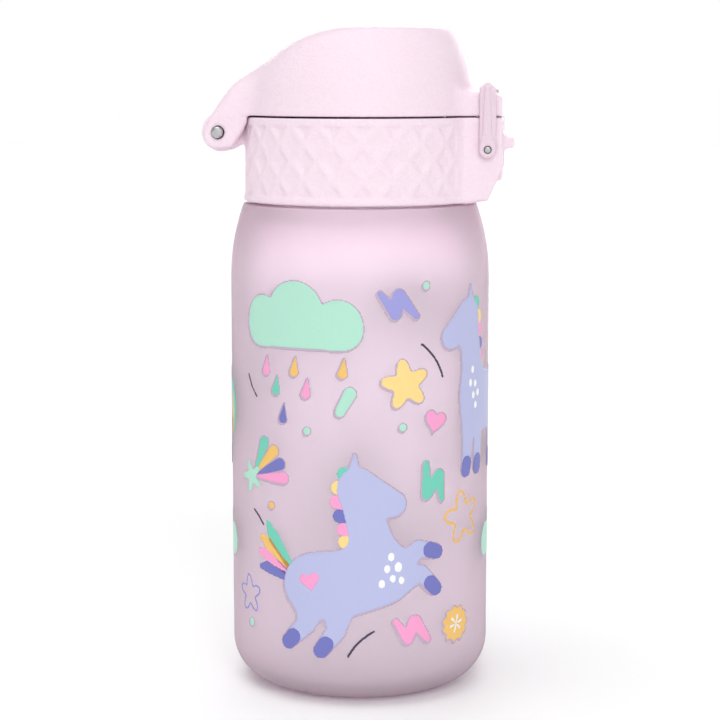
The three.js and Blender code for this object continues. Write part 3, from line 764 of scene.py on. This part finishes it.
def lock_bail():
    """The bail: two straps from the pin up to a bar over the tab, with a raised rib on each."""
    half = 2.05
    low = TAB_TOP + FIT_GAP
    reach = half + 0.75
    grid = Block(
        (BAIL_X - reach, -BAIL_OUT - 0.6, BAIL_Z - reach),
        (BAIL_X + reach, BAIL_OUT + 0.6, SEAM + 8.9), 0.15)
    strip = rounded([
        *arc(BAIL_X, BAIL_Z, half, 180, 360, 14),
        (BAIL_X + half, low + 0.5, 0.3),
        (BAIL_X + 0.4, low + 1.95, 0.3),
        (BAIL_X - 0.5, low + 1.95, 0.3),
        (BAIL_X - half, low + 0.8, 0.3),
    ])
    plate = grid.slab(strip, -BAIL_OUT + 0.55, BAIL_OUT - 0.55, 0.3)
    left, right = BAIL_X - 1.15, BAIL_X + 0.75
    spoon = rounded([
        *arc(BAIL_X, BAIL_Z, half, 165, 375, 18),
        (right + 0.15, BAIL_Z + 4.0, 3),
        (right, BAIL_Z + 8, 3),
        (right - 0.2, low + 1.2, 0.3),
        (left + 0.5, low + 1.2, 0.3),
        (left, BAIL_Z + 8, 3),
        (left - 0.1, BAIL_Z + 4.0, 3),
    ])
    body = join(plate, grid.slab(spoon, -BAIL_OUT, BAIL_OUT, 0.25), 0.35)
    window = [
        (BAIL_X - 9, BAIL_Z - 9), (BAIL_X + 9, BAIL_Z - 9), (BAIL_X + 9, low), (BAIL_X - 9, low),
    ]
    body = cut(body, grid.slab(window, -LATCH_HALF - FIT_GAP, LATCH_HALF + FIT_GAP), 0.3)
    body = cut(body, grid.bar_y(BAIL_X, BAIL_Z, 0.96), 0.15)
    return grid.piece("swing_bail", body)


# ---- Small round pieces ----


def spout():
    """The drinking spout: a foot pressed into the deck, a groove for its seal, a flange and a lip."""
    stub, bore, lip = 11.0, 8.2, 10.1
    groove = 0.825
    middle = (DECK_LOW + DECK_TOP) / 2
    flange = DECK_TOP + FIT_GAP
    foot = span("drinking_spout")[0].z
    return lathe("spout", rounded([
        (bore + 0.9, foot, 0.3),
        (stub, foot, 0.4),
        (stub, middle - groove),
        (stub - groove, middle - groove),
        (stub - groove, middle + groove),
        (stub, middle + groove),
        (stub, flange, 0.1),
        (stub + 2.4, flange, 0.4),
        (stub + 2.4, flange + 1.4, 0.5),
        (lip + 1.8, flange + 1.4, 1.0),
        (lip - 0.2, SPOUT_TOP - 3.2, 3),
        (lip + 0.25, SPOUT_TOP - 1.6, 0.8),
        (lip + 0.1, SPOUT_TOP, 0.9),
        (bore, SPOUT_TOP, 0.9),
        (bore, SPOUT_TOP - 4, 3),
    ]), x=SPOUT_X)


def spout_ring():
    """The round seal in the spout's groove."""
    return lathe("spout_ring", arc(10.825, (DECK_LOW + DECK_TOP) / 2, 0.55, 0, 340, 17), x=SPOUT_X)


def neck_seal():
    """The flat seal between the neck's rim and the deck."""
    low, high = span("neck_seal")
    outer = high.y
    inner = outer - 2.9
    return lathe("neck_gasket", rounded([
        (inner, low.z, 0.4), (outer, low.z, 0.4), (outer, high.z, 0.4), (inner, high.z, 0.4)]))


def valve():
    """The vent valve: a mushroom head on the deck, and a thin closed tail under it."""
    head, foot = DECK_TOP + FIT_GAP, DECK_LOW - FIT_GAP
    tail, inside = foot - 3.4, foot - 2.6
    return lathe("vent_valve", [
        (0, tail),
        *rounded([(1.5, tail, 0.2), (3.0, foot - 1, 0.3), (3.0, foot, 0.3), (2.1, foot, 0.2),
                  (2.1, head, 0.2), (4.2, head, 0.3), (3.8, head + 1, 0.4), (1.0, head + 1, 0.2),
                  (1.0, inside, 0.2)]),
        (0, inside),
    ], x=VALVE_X, segments=64)


def plug_parts():
    """The soft stopper that closes the spout, and the disc inside it that holds it to the cap."""
    radius = span("spout_plug")[1].y
    inner = radius - 1
    low = SPOUT_TOP + FIT_GAP
    seat = low + 1.4
    hold = seat + FIT_GAP
    lip = hold + 1 + FIT_GAP
    plug = lathe("stopper", [
        (0, low - 1.4),
        *rounded([(6.2, low - 1.4, 0.5), (7.3, low, 0.3), (radius, low, 0.5),
                  (radius, lip + 0.6, 0.4), (inner - 1.6, lip + 0.6, 0.2), (inner - 1.6, lip, 0.1),
                  (inner, lip, 0.1), (inner, seat, 0.2)]),
        (0, seat),
    ], x=SPOUT_X)
    top = span("plug_holder")[1].z
    bore, hub, disc = 2.8, 5.8, inner - FIT_GAP
    holder = lathe("stopper_carrier", rounded([
        (bore, hold, 0.1), (disc, hold, 0.3), (disc, hold + 1, 0.3), (hub, hold + 1, 0.3),
        (hub, top, 0.3), (bore, top, 0.2)]), x=SPOUT_X)
    return plug, holder


def steel_pin(name, node, radius, x, z, chamfer):
    """A pin along Y with chamfered ends, as long as its node. Close rings keep the faces flat."""
    end = span(node)[1].y
    face = radius - chamfer
    half = [
        (0, end), (face - 0.04, end), (face, end - 0.01), (radius - 0.02, end - chamfer * 0.8),
        (radius, end - chamfer), (radius, end - chamfer - 0.1),
    ]
    outline = [(r, -y) for r, y in half] + half[::-1]
    return lathe(name, outline, along="y", at=(x, z), segments=64)


def hinge_spring():
    """The coil round the hinge pin, with a leg on the lug and a leg upwards."""
    radius, wire, leg, turns = 2.25, 0.45, 4.9, 4.75
    half = COIL_ROOM - wire - FIT_GAP
    t = np.linspace(0, 1, 230)
    angle = np.pi + 2 * np.pi * turns * t
    coil = np.stack([HINGE_X + radius * np.sin(angle), -half + 2 * half * t,
                     HINGE_Z - radius * np.cos(angle)], axis=1)
    first = coil[0] + np.outer(np.linspace(leg - 0.6, 0.2, 8), (1, 0, 0))
    last = coil[-1] + np.outer(np.linspace(0.2, leg, 8), (0, 0, 1))
    return tube("torsion_spring", np.concatenate([first, coil, last]), wire)


def button_spring():
    """The short coil between the collar and the button."""
    low, high = span("button_spring")
    wire, radius, turns = 0.22, 1.25, 5
    t = np.linspace(0, 1, 160)
    angle = 2 * np.pi * turns * t
    z = (low.z + high.z) / 2
    coil = np.stack([low.x + wire + (high.x - low.x - 2 * wire) * t,
                     radius * np.cos(angle), z + radius * np.sin(angle)], axis=1)
    return tube("return_spring", coil, wire, 10)


# ---- Bottle ----


def neck_bump(radius, z, angle):
    """The neck's thread, as a change of radius."""
    turn = (angle / (2 * np.pi)) % 1
    bump = np.zeros(np.broadcast(radius, angle).shape)
    start = LEDGE_Z + THREAD_START
    for lap in (0, 1):
        middle = start + THREAD_PITCH * (turn + lap)
        slope = np.clip((0.85 - np.abs(z - middle)) / 0.4, 0, 1)
        ends = np.clip(np.minimum(turn + lap, NECK_TURNS - turn - lap) / 0.12, 0, 1)
        bump = np.maximum(bump, THREAD_DEPTH * slope * ends)
    on_neck = (np.abs(radius - NECK_R) < 0.05) & (z > LEDGE_Z + 0.5)
    return bump * on_neck


def shoulder(radius, edge, low, high, steps):
    """The side's curve inwards to the shoulder's edge: a parabola, upright at its foot."""
    s = np.linspace(0, 1, steps + 1)
    return list(zip(radius + (edge - radius) * s * s, low + (high - low) * s))


def bottle():
    """The hollow body: foot ring, side, shoulder and threaded neck, and the inside."""
    edge = GRIP_R + LEDGE_EDGE
    start = LEDGE_Z - SHOULDER_RISE
    rim = 0.5
    foot_inner = 16.2
    outer = [
        (0, FOOT_RECESS),
        *bezier((11, FOOT_RECESS), (14.6, FOOT_RECESS), (foot_inner - 0.6, 0.3), 6),
        (foot_inner, 0.0),
        *arc(BODY_R - BASE_CORNER, BASE_CORNER, BASE_CORNER, -90, 0, 24),
        *[(BODY_R, z) for z in np.linspace(BASE_CORNER + 4, start - 3, 12)],
        *shoulder(BODY_R, edge, start, LEDGE_Z - 0.5, 24),
        (edge - 0.15, LEDGE_Z - 0.12),
        (edge - 0.5, LEDGE_Z),
        (NECK_R + 0.5, LEDGE_Z),
        *[(NECK_R, z) for z in np.arange(LEDGE_Z + 0.4, RIM_Z - rim, 0.2)],
        *arc(NECK_R - rim, RIM_Z - rim, rim, 0, 90, 4),
    ]
    bore = NECK_R - NECK_WALL
    inside = BODY_R - BODY_WALL
    corner = BASE_CORNER - BODY_WALL
    floor_z = FOOT_RECESS + BODY_WALL
    inner = [
        *arc(bore + rim, RIM_Z - rim, rim, 90, 180, 4),
        (bore, LEDGE_Z),
        (bore + 0.3, LEDGE_Z - 1.6),
        *shoulder(inside, edge - 2 * BODY_WALL, start, LEDGE_Z - 2 * BODY_WALL, 20)[::-1],
        *[(inside, z) for z in np.linspace(start - 3, floor_z + corner + 4, 8)],
        *arc(inside - corner, floor_z + corner, corner, 0, -90, 18),
        (0, floor_z),
    ]
    return lathe("bottle_shell", outer + inner, segments=192, bump=neck_bump)


# ---- Print: thin ink on the outside of the bottle ----
# Places on it are (s, z): s runs round the bottle from the front, towards the latch.

INK_PITCH = 0.33  # between the samples of a shape
INK_STEP = 0.035  # from one layer of ink to the next
INK_HALF = 0.45 * INK_STEP
PAINTED_SHADOW_WIDTH = 0.25  # of the painted shadow round most shapes, a thin rim of darker ink
INKS = {
    # The edge colour is painted shadow: the print's shadow as if cast on the bottle's inner wall.
    "edge": (0.52, 0.4, 0.52),
    "mint": (0.42, 0.74, 0.6),
    "teal": (0.15, 0.6, 0.46),
    "lavender": (0.47, 0.49, 0.74),
    "violet": (0.32, 0.32, 0.68),
    "indigo": (0.16, 0.17, 0.5),
    "yellow": (0.93, 0.67, 0.25),
    "amber": (0.85, 0.52, 0.14),
    "pink": (0.9, 0.34, 0.6),
    "white": (0.93, 0.93, 0.95),
    "ink": (0.05, 0.04, 0.08),
}
MANE = ("teal", "yellow", "pink", "indigo", "pink", "yellow")
printed = {}  # each piece of print's name, and its shapes so far


def body_radius(z):
    """The bottle's outer radius at each height above its corner."""
    up = np.clip((z - (LEDGE_Z - SHOULDER_RISE)) / SHOULDER_RISE, 0, 1)
    return BODY_R + (GRIP_R + LEDGE_EDGE - BODY_R) * up * up


class Sheet:
    """A patch of the bottle's side, and the flat shapes on it."""

    def __init__(self, s0, z0, s1, z1):
        self.s0, self.z0 = s0, z0
        self.s = np.arange(s0, s1, INK_PITCH, dtype=np.float32)[:, None]
        self.z = np.arange(z0, z1, INK_PITCH, dtype=np.float32)[None, :]

    def oval(self, s, z, rs, rz, tilt=0.0):
        """An ellipse, tilted by degrees."""
        turn = math.radians(tilt)
        u = (self.s - s) * math.cos(turn) + (self.z - z) * math.sin(turn)
        w = (self.z - z) * math.cos(turn) - (self.s - s) * math.sin(turn)
        near = np.hypot(u / rs, w / rz)
        return near * (near - 1) / (np.hypot(u / rs ** 2, w / rz ** 2) + 1e-6)

    def limb(self, *stops):
        """A tapering stroke through (s, z, radius) stops."""
        field = np.full((self.s.size, self.z.size), 1e3, np.float32)
        for (s0, z0, r0), (s1, z1, r1) in zip(stops, stops[1:]):
            ds, dz = s1 - s0, z1 - z0
            t = np.clip(((self.s - s0) * ds + (self.z - z0) * dz) / (ds * ds + dz * dz), 0, 1)
            away = np.hypot(self.s - s0 - t * ds, self.z - z0 - t * dz) - r0 - t * (r1 - r0)
            field = np.minimum(field, away)
        return field

    def petals(self, s, z, radius, count, wave, tilt=0.0):
        """A soft star or flower."""
        angles = np.linspace(0, 2 * np.pi, 90, endpoint=False)
        reach = radius * (1 + wave * np.cos(count * angles)) / (1 + wave)
        turn = math.radians(tilt)
        outline = [
            (s + r * math.cos(a + turn), z + r * math.sin(a + turn)) for r, a in zip(reach, angles)
        ]
        return outline_distance(self.s, self.z, outline)

    def heart(self, s, z, size, tilt=0.0):
        """The usual heart curve, tilted by degrees."""
        t = np.linspace(0, 2 * np.pi, 60, endpoint=False)
        u = 16 * np.sin(t) ** 3
        w = 13 * np.cos(t) - 5 * np.cos(2 * t) - 2 * np.cos(3 * t) - np.cos(4 * t)
        turn, scale = math.radians(tilt), size / 32
        across = s + scale * (u * math.cos(turn) - w * math.sin(turn))
        up = z + scale * (u * math.sin(turn) + w * math.cos(turn))
        return outline_distance(self.s, self.z, list(zip(across, up)))

    def ink(self, group, colour, field, layer=0):
        """Prints a shape in a colour, on this layer of ink, on both sides of the bottle."""
        depth = np.arange(-3, 4, dtype=np.float32)
        edge = np.pad(field[:, :, None] / INK_PITCH, ((1, 1), (1, 1), (0, 0)), constant_values=3)
        points, quads = surface(np.maximum(edge, np.abs(depth) - 1), 3.0)
        s = self.s0 + (points[:, 0] - 1) * INK_PITCH
        z = self.z0 + (points[:, 1] - 1) * INK_PITCH
        radius = body_radius(z) + INK_STEP * (layer + 1) + INK_HALF * (points[:, 2] - 3)
        for side in (0, np.pi):
            angle = math.radians(CAMERA_AZIMUTH - 90) + s / BODY_R + side
            placed = np.stack([radius * np.cos(angle), radius * np.sin(angle), z], axis=1)
            printed.setdefault(group, []).append((placed, quads, list(INKS).index(colour)))

    def motif(self, group, colour, field):
        """A shape over its painted shadow, a thin rim of darker ink."""
        self.edge(group, field)
        self.ink(group, colour, field, 1)

    def edge(self, group, field):
        """The painted shadow round a shape, as if cast on the bottle's inner wall: a thin rim of darker
        ink, wider below and to the left.
        """
        # Painted shadow: the shape joined to itself moved one sample down and to the left.
        shifted = np.minimum(field, np.roll(field, (-1, -1), (0, 1)))
        self.ink(group, "edge", shifted - PAINTED_SHADOW_WIDTH)


def merged(first, *others):
    """Joins fields to the first, one after another, each with its blend."""
    for field, blend in others:
        first = join(first, field, blend)
    return first


def cloud(s, z, size):
    """A plain cloud of three puffs, its flat base centred on (s, z)."""
    sheet = Sheet(s - 19 * size, z - 2, s + 19 * size, z + 20 * size)
    base = z + 4.6 * size
    shape = merged(
        sheet.oval(s - 11.5 * size, z + 7 * size, 6 * size, 6.4 * size),
        (sheet.oval(s - 1 * size, z + 10 * size, 8 * size, 7.6 * size), 0.8),
        (sheet.oval(s + 11 * size, z + 6.8 * size, 6.4 * size, 6.2 * size), 0.8),
        (sheet.limb((s - 12.6 * size, base, 4.6 * size), (s + 12.8 * size, base, 4.6 * size)), 1.5),
    )
    sheet.motif("print_clouds", "mint", shape)


def pony(group, sheet, body, tail, mane, behind, hooves, dots):
    """Prints a plain pony. Its mane's locks hang from their places to this far behind them."""
    for colour, *path in tail:
        sheet.ink(group, colour, sheet.limb(*path), 1)
    for colour, (s, z) in zip(MANE, mane):
        sheet.ink(group, colour, sheet.limb((s + behind, z - 0.4, 1.6), (s, z, 1.75)), 1)
    # Painted shadow round the body, in darker ink.
    sheet.edge(group, body)
    sheet.ink(group, "lavender", body, 2)
    for hoof in hooves:
        sheet.ink(group, "indigo", sheet.limb(*hoof), 3)
    for dot in dots:
        sheet.ink(group, "white", sheet.oval(*dot), 3)


def leaping_pony():
    """A plain pony that leaps to the right."""
    group = "print_leaping"
    sheet = Sheet(-32, 9, 25, 68)
    body = merged(
        sheet.oval(-3.5, 31.5, 14.5, 8.2, 8),
        (sheet.oval(-11.5, 30.5, 8, 7.6), 3),
        (sheet.oval(6.5, 33.5, 7, 6.8), 3),
        (sheet.limb((4.2, 37, 5.6), (-0.5, 53, 4.3)), 4),
        (sheet.limb((-0.6, 55, 4.9), (8.2, 50.8, 3.2)), 2),
        (sheet.limb((-1.5, 58.5, 1.6), (-1.2, 63.2, 0.3)), 0.6),
        (sheet.limb((9, 34.5, 2.8), (14.6, 39.2, 2.2), (19.3, 38.4, 1.8)), 1.6),
        (sheet.limb((9, 31, 2.8), (15.5, 33.0, 2.1), (19.2, 29.3, 1.8)), 1.6),
        (sheet.limb((-12, 26, 4.4), (-13.6, 20.6, 2.5), (-18.0, 16.2, 1.9)), 1.6),
        (sheet.limb((-5, 26, 4.0), (-5.8, 19.6, 2.4), (-9.2, 14.8, 1.9)), 1.6),
    )
    tail = (
        ("teal", (-17.5, 34.0, 1.2), (-23.0, 41.0, 2.0), (-25.0, 44.6, 0.7)),
        ("amber", (-17.5, 33.2, 1.2), (-25.0, 39.6, 1.7), (-27.2, 40.6, 0.8)),
        ("pink", (-17.5, 32.4, 1.2), (-25.6, 36.6, 1.5), (-27.8, 37.0, 0.8)),
        ("indigo", (-17.5, 31.6, 1.2), (-25.0, 33.4, 1.6), (-27.4, 33.2, 0.8)),
    )
    mane = ((-3.9, 58.3), (-5.4, 54.9), (-5.7, 51.4), (-4.9, 48.0), (-3.9, 44.7), (-3.6, 41.6))
    hooves = (
        ((17.9, 38.7, 2.05), (19.9, 38.0, 1.9)),
        ((18.1, 30.4, 2.0), (19.6, 28.9, 1.9)),
        ((-17.0, 17.2, 2.05), (-18.5, 15.7, 1.95)),
        ((-8.4, 16.0, 2.05), (-9.7, 14.3, 1.95)),
    )
    dots = [(s, z, r * 0.9, r * 1.15) for s, z, r in (
        (7.6, 37.8, 1.0), (9.4, 35.2, 1.15), (6.6, 34.8, 0.95), (8.0, 32.4, 0.9),
        (5.3, 31.2, 1.0), (10.2, 31.8, 0.9))]
    pony(group, sheet, body, tail, mane, 2.6, hooves, dots)
    sheet.ink(group, "pink", sheet.heart(-12.5, 31.5, 5.4, 12), 3)


def standing_pony():
    """A plain pony that stands facing left."""
    sheet = Sheet(18, 53, 62, 106)
    legs = (31.2, 36.6, 47.4, 52.4)
    body = merged(
        sheet.oval(42, 73, 12.5, 7.4, -3),
        (sheet.oval(34, 74.5, 6.2, 7), 3),
        (sheet.oval(49.5, 73.5, 6.6, 7.2), 3),
        (sheet.limb((34, 78, 5.2), (31.5, 93, 4.2)), 4),
        (sheet.limb((31.0, 95, 4.7), (24.4, 90.6, 3.2)), 2),
        (sheet.limb((32.0, 98, 1.6), (31.8, 102.6, 0.3)), 0.6),
        *[(sheet.limb((s, 71, 3.0), (s - 0.3, 63, 2.2), (s - 0.9, 57.4, 1.9)), 1.4) for s in legs],
    )
    tail = (
        ("teal", (54.0, 76.8, 1.1), (57.6, 76.0, 1.6), (59.4, 72.6, 1.8), (60.0, 65.6, 0.7)),
        ("amber", (54.0, 75.8, 1.1), (56.0, 74.4, 1.5), (57.0, 71.0, 1.7), (57.8, 64.4, 0.7)),
    )
    mane = ((34.9, 98.0), (36.4, 94.6), (36.9, 91.1), (37.0, 87.7), (37.4, 84.4), (38.0, 81.6))
    hooves = [((s - 0.7, 58.4, 2.1), (s - 1.0, 57.0, 2.0)) for s in legs]
    dots = [(s, z, 0.8, 1.05) for s, z in (
        (33.0, 81.6), (32.0, 78.4), (34.4, 78.0), (33.4, 75.2), (35.8, 75.6), (34.6, 72.6))]
    pony("print_standing", sheet, body, tail, mane, -2.6, hooves, dots)


def small_motifs():
    """The rain, stars, hearts, streaks and strokes between the animals."""
    bits, stars = "print_bits", "print_stars"
    sheet = Sheet(-36, 68, 2, 88)
    for colour, s, z in (
        ("pink", -25.2, 82.2), ("amber", -16.6, 82.6), ("amber", -4.2, 82.6),
        ("teal", -22.0, 77.6), ("pink", -13.4, 77.4), ("indigo", -19.9, 70.9),
    ):
        sheet.motif(bits, colour, sheet.limb((s, z, 1.25), (s + 0.5, z + 3.9, 0.05)))
    sheet.ink(bits, "ink", sheet.limb((-32.4, 80.6, 0.3), (-31.0, 77.8, 0.3), (-28.9, 75.4, 0.3)))

    sheet = Sheet(-16, 66, 2, 82)
    sheet.motif(bits, "mint", sheet.limb((-4.8, 73.4, 1.3), (-2.4, 77.8, 1.6)))
    sheet.motif(bits, "mint", sheet.oval(-13.1, 68.4, 1.0, 1.0))

    sheet = Sheet(1, 92, 20, 106)
    streak = sheet.limb((4.8, 101.8, 0.7), (8.6, 96.9, 1.5), (9.4, 101.2, 1.7), (14.0, 96.2, 0.8))
    sheet.motif(bits, "violet", streak)
    sheet.motif(bits, "mint", sheet.oval(16.6, 103.4, 0.95, 1.05))

    sheet = Sheet(2, 64, 28, 91)
    sheet.motif(stars, "yellow", sheet.petals(11.2, 79.8, 6.3, 5, 0.3, 100))
    sheet.motif(bits, "pink", sheet.heart(19.4, 70.4, 6.2, -14))
    sheet.motif(bits, "mint", sheet.oval(10.5, 69.4, 1.0, 1.0))
    sheet.ink(bits, "ink", sheet.limb(*[(s, z, 0.36) for s, z in arc(6.0, 76.0, 16.3, 55, 18)]))

    sheet = Sheet(13, 47, 26, 64)
    streak = sheet.limb((16.7, 60.0, 0.9), (17.0, 52.6, 1.5), (20.6, 57.0, 1.5), (21.4, 51.0, 0.8))
    sheet.motif(bits, "teal", streak)

    sheet = Sheet(-37, 49, -15, 69)
    for colour, s, z in (
        ("teal", -26.0, 64.4), ("amber", -22.8, 62.6), ("indigo", -20.8, 59.6), ("pink", -19.8, 56.2),
    ):
        sheet.motif(stars, colour, sheet.limb((-30.0, 55.6, 0.4), (s, z, 1.55)))
    sheet.ink(stars, "mint", sheet.petals(-31.2, 55.2, 4.2, 5, 0.38, 40), 3)

    sheet = Sheet(-34, 41, -20, 52)
    sheet.motif(bits, "amber", sheet.oval(-23.6, 49.0, 1.0, 1.0))
    sheet.ink(bits, "ink", sheet.limb((-30.2, 47.0, 0.35), (-28.2, 45.6, 0.35), (-26.6, 43.8, 0.35)))

    sheet = Sheet(20, 36, 38, 55)
    sheet.ink(stars, "amber", np.abs(sheet.petals(29.0, 45.4, 6.6, 5, 0.32, 100)) - 0.42)

    sheet = Sheet(-41, 14, -25, 34)
    sheet.ink(stars, "violet", np.abs(sheet.petals(-32.6, 25.2, 4.8, 5, 0.32, 95)) - 0.32)
    sheet.motif(bits, "mint", sheet.oval(-31.6, 18.2, 1.0, 1.1))

    sheet = Sheet(5, 12, 34, 26)
    streak = sheet.limb((8.8, 21.6, 0.8), (12.0, 17.0, 1.4), (13.8, 21.2, 1.7), (17.4, 16.4, 0.9))
    sheet.motif(bits, "pink", streak)
    flower_s, flower_z = 26.5, 18.8
    sheet.motif(stars, "amber", sheet.petals(flower_s, flower_z, 4.7, 11, 0.09))
    for angle in range(15, 375, 60):
        turn = math.radians(angle)
        s, z = flower_s + 2.0 * math.cos(turn), flower_z + 2.0 * math.sin(turn)
        sheet.ink(stars, "white", sheet.limb((flower_s, flower_z, 0.16), (s, z, 0.42)), 3)

    sheet = Sheet(-6, 11, 6, 21)
    sheet.ink(bits, "ink", sheet.limb(*[(s, z, 0.36) for s, z in arc(10.5, 6.0, 15.2, 118, 152)]))


def prints():
    """Draws every motif, and makes one object of each group, with one material for each ink."""
    cloud(-15.6, 88.2, 0.93)
    cloud(50.5, 33.0, 0.62)
    leaping_pony()
    standing_pony()
    small_motifs()
    # ink_edge is the material of the painted shadow round the shapes.
    inks = [moulded("ink_" + name, colour, 0.42, 0.1, 0.02) for name, colour in INKS.items()]
    for group, parts in printed.items():
        starts = np.cumsum([0] + [len(points) for points, _, _ in parts])
        points = np.concatenate([points for points, _, _ in parts])
        quads = np.concatenate([quads + start for (_, quads, _), start in zip(parts, starts)])
        obj = mesh_object(group, points, quads)
        for ink in inks:
            obj.data.materials.append(ink)
        index = np.concatenate([np.full(len(quads), ink) for _, quads, ink in parts])
        obj.data.polygons.foreach_set("material_index", index.astype(np.int32))
        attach(obj, "bottle")


# ---- Materials ----


def principled(name, colour, roughness):
    """A new material, its nodes and its shader."""
    material = bpy.data.materials.new(name)
    material.use_nodes = True
    shader = material.node_tree.nodes["Principled BSDF"]
    shader.inputs["Base Color"].default_value = (*colour, 1)
    shader.inputs["Roughness"].default_value = roughness
    return material, material.node_tree, shader


def noise(tree, scale, detail):
    """Fine noise fixed to the object, with this many features to the metre."""
    place = tree.nodes.new("ShaderNodeTexCoord")
    texture = tree.nodes.new("ShaderNodeTexNoise")
    texture.inputs["Scale"].default_value = scale
    texture.inputs["Detail"].default_value = detail
    tree.links.new(place.outputs["Object"], texture.inputs["Vector"])
    return texture.outputs["Fac"]


def mottled(tree, shader, colour, mottle, scale):
    """A colour that varies a little."""
    mix = tree.nodes.new("ShaderNodeMix")
    mix.data_type = "RGBA"
    mix.inputs["A"].default_value = (*[c * (1 - mottle) for c in colour], 1)
    mix.inputs["B"].default_value = (*[min(1, c * (1 + mottle)) for c in colour], 1)
    tree.links.new(noise(tree, scale, 3.0), mix.inputs["Factor"])
    tree.links.new(mix.outputs["Result"], shader.inputs["Base Color"])


def grained(tree, shader, strength, depth, scale, detail=1.0):
    """A fine grain in the surface, its depth in metres."""
    bump = tree.nodes.new("ShaderNodeBump")
    bump.inputs["Strength"].default_value = strength
    bump.inputs["Distance"].default_value = depth
    tree.links.new(noise(tree, scale, detail), bump.inputs["Height"])
    tree.links.new(bump.outputs["Normal"], shader.inputs["Normal"])


def moulded(name, colour, roughness, grain=0.5, mottle=0.05):
    """A moulded plastic with fine grain, and colour that varies a little."""
    material, tree, shader = principled(name, colour, roughness)
    mottled(tree, shader, colour, mottle, 1500)
    grained(tree, shader, grain, 0.0003, 1900)
    return material


def frosted(name):
    """Frosted clear plastic: rough to look through, and mauve where the way through it is long."""
    colour = (1.0, 0.925, 0.985)
    material, tree, shader = principled(name, colour, 0.58)
    shader.inputs["Transmission Weight"].default_value = 0.68
    shader.inputs["IOR"].default_value = 1.25
    mottled(tree, shader, colour, 0.015, 300)
    grained(tree, shader, 0.2, 0.00003, 2600)
    absorb = tree.nodes.new("ShaderNodeVolumeAbsorption")
    absorb.inputs["Color"].default_value = (0.805, 0.64, 0.72, 1)
    absorb.inputs["Density"].default_value = 158.0
    tree.links.new(absorb.outputs["Volume"], tree.nodes["Material Output"].inputs["Volume"])
    return material


def steel(name):
    """Drawn steel, with fine marks and a shine that varies a little."""
    colour = (0.5, 0.51, 0.51)
    material, tree, shader = principled(name, colour, 0.34)
    shader.inputs["Metallic"].default_value = 1.0
    mottled(tree, shader, colour, 0.06, 2500)
    shine = tree.nodes.new("ShaderNodeMapRange")
    shine.inputs["To Min"].default_value = 0.26
    shine.inputs["To Max"].default_value = 0.42
    tree.links.new(noise(tree, 1800, 2.0), shine.inputs["Value"])
    tree.links.new(shine.outputs["Result"], shader.inputs["Roughness"])
    grained(tree, shader, 0.12, 0.00003, 5000, 2.0)
    return material


LID = moulded("lid_plastic", (0.87, 0.71, 0.8), 0.5)
# The bail's plastic is the lid's plastic made darker: painted shade.
SHADED_LID = moulded("lid_plastic_painted_shade", (0.76, 0.6, 0.69), 0.5)
FROSTED = frosted("frosted_body")
SPOUT = moulded("spout_plastic", (0.9, 0.84, 0.86), 0.35, 0.1)
SILICONE = moulded("silicone", (0.88, 0.85, 0.86), 0.6, 0.1)
STEEL = steel("steel")


def put(obj, material, body, slot, *nodes):
    """Gives a piece its material and its body, and hides the CAD nodes that it stands for. The slot is
    not used.
    """
    obj.data.materials.clear()
    obj.data.materials.append(material)
    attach(obj, body)
    if nodes:
        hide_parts(*nodes)


# ---- The object ----
camera()
floor()
studio()

put(bottle(), FROSTED, "bottle", "body_plastic", "bottle_body")
prints()
put(neck_seal(), SILICONE, "seal_ring", "silicone", "neck_seal")
put(collar(), LID, "lid", "lid_plastic", "collar")
put(spout(), SPOUT, "lid", "spout_plastic", "drinking_spout")
put(spout_ring(), SILICONE, "lid", "silicone", "spout_seal")
put(valve(), SILICONE, "lid", "silicone", "air_valve")
put(flip_cap(), LID, "cap", "lid_plastic", "flip_cap")
stopper, carrier = plug_parts()
put(stopper, SILICONE, "cap", "silicone", "spout_plug")
put(carrier, LID, "cap", "lid_plastic", "plug_holder")
hinge_axle = steel_pin("hinge_axle", "hinge_pin", HINGE_PIN_R, HINGE_X, HINGE_Z, 0.4)
put(hinge_axle, STEEL, "lid", "steel", "hinge_pin")
put(hinge_spring(), STEEL, "lid", "steel", "hinge_spring")
put(latch_button(), LID, "button", "lid_plastic", "latch_button")
return_spring = button_spring()
put(return_spring, STEEL, "lid", "steel", "button_spring")
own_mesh(return_spring)
# The bail gets the darker lid plastic, for painted shade.
put(lock_bail(), SHADED_LID, "bail", "lid_plastic", "lock_bail")
bail_axle = steel_pin("bail_axle", "latch_pin", LATCH_PIN_R, BAIL_X, BAIL_Z, 0.15)
put(bail_axle, STEEL, "lid", "steel", "latch_pin")
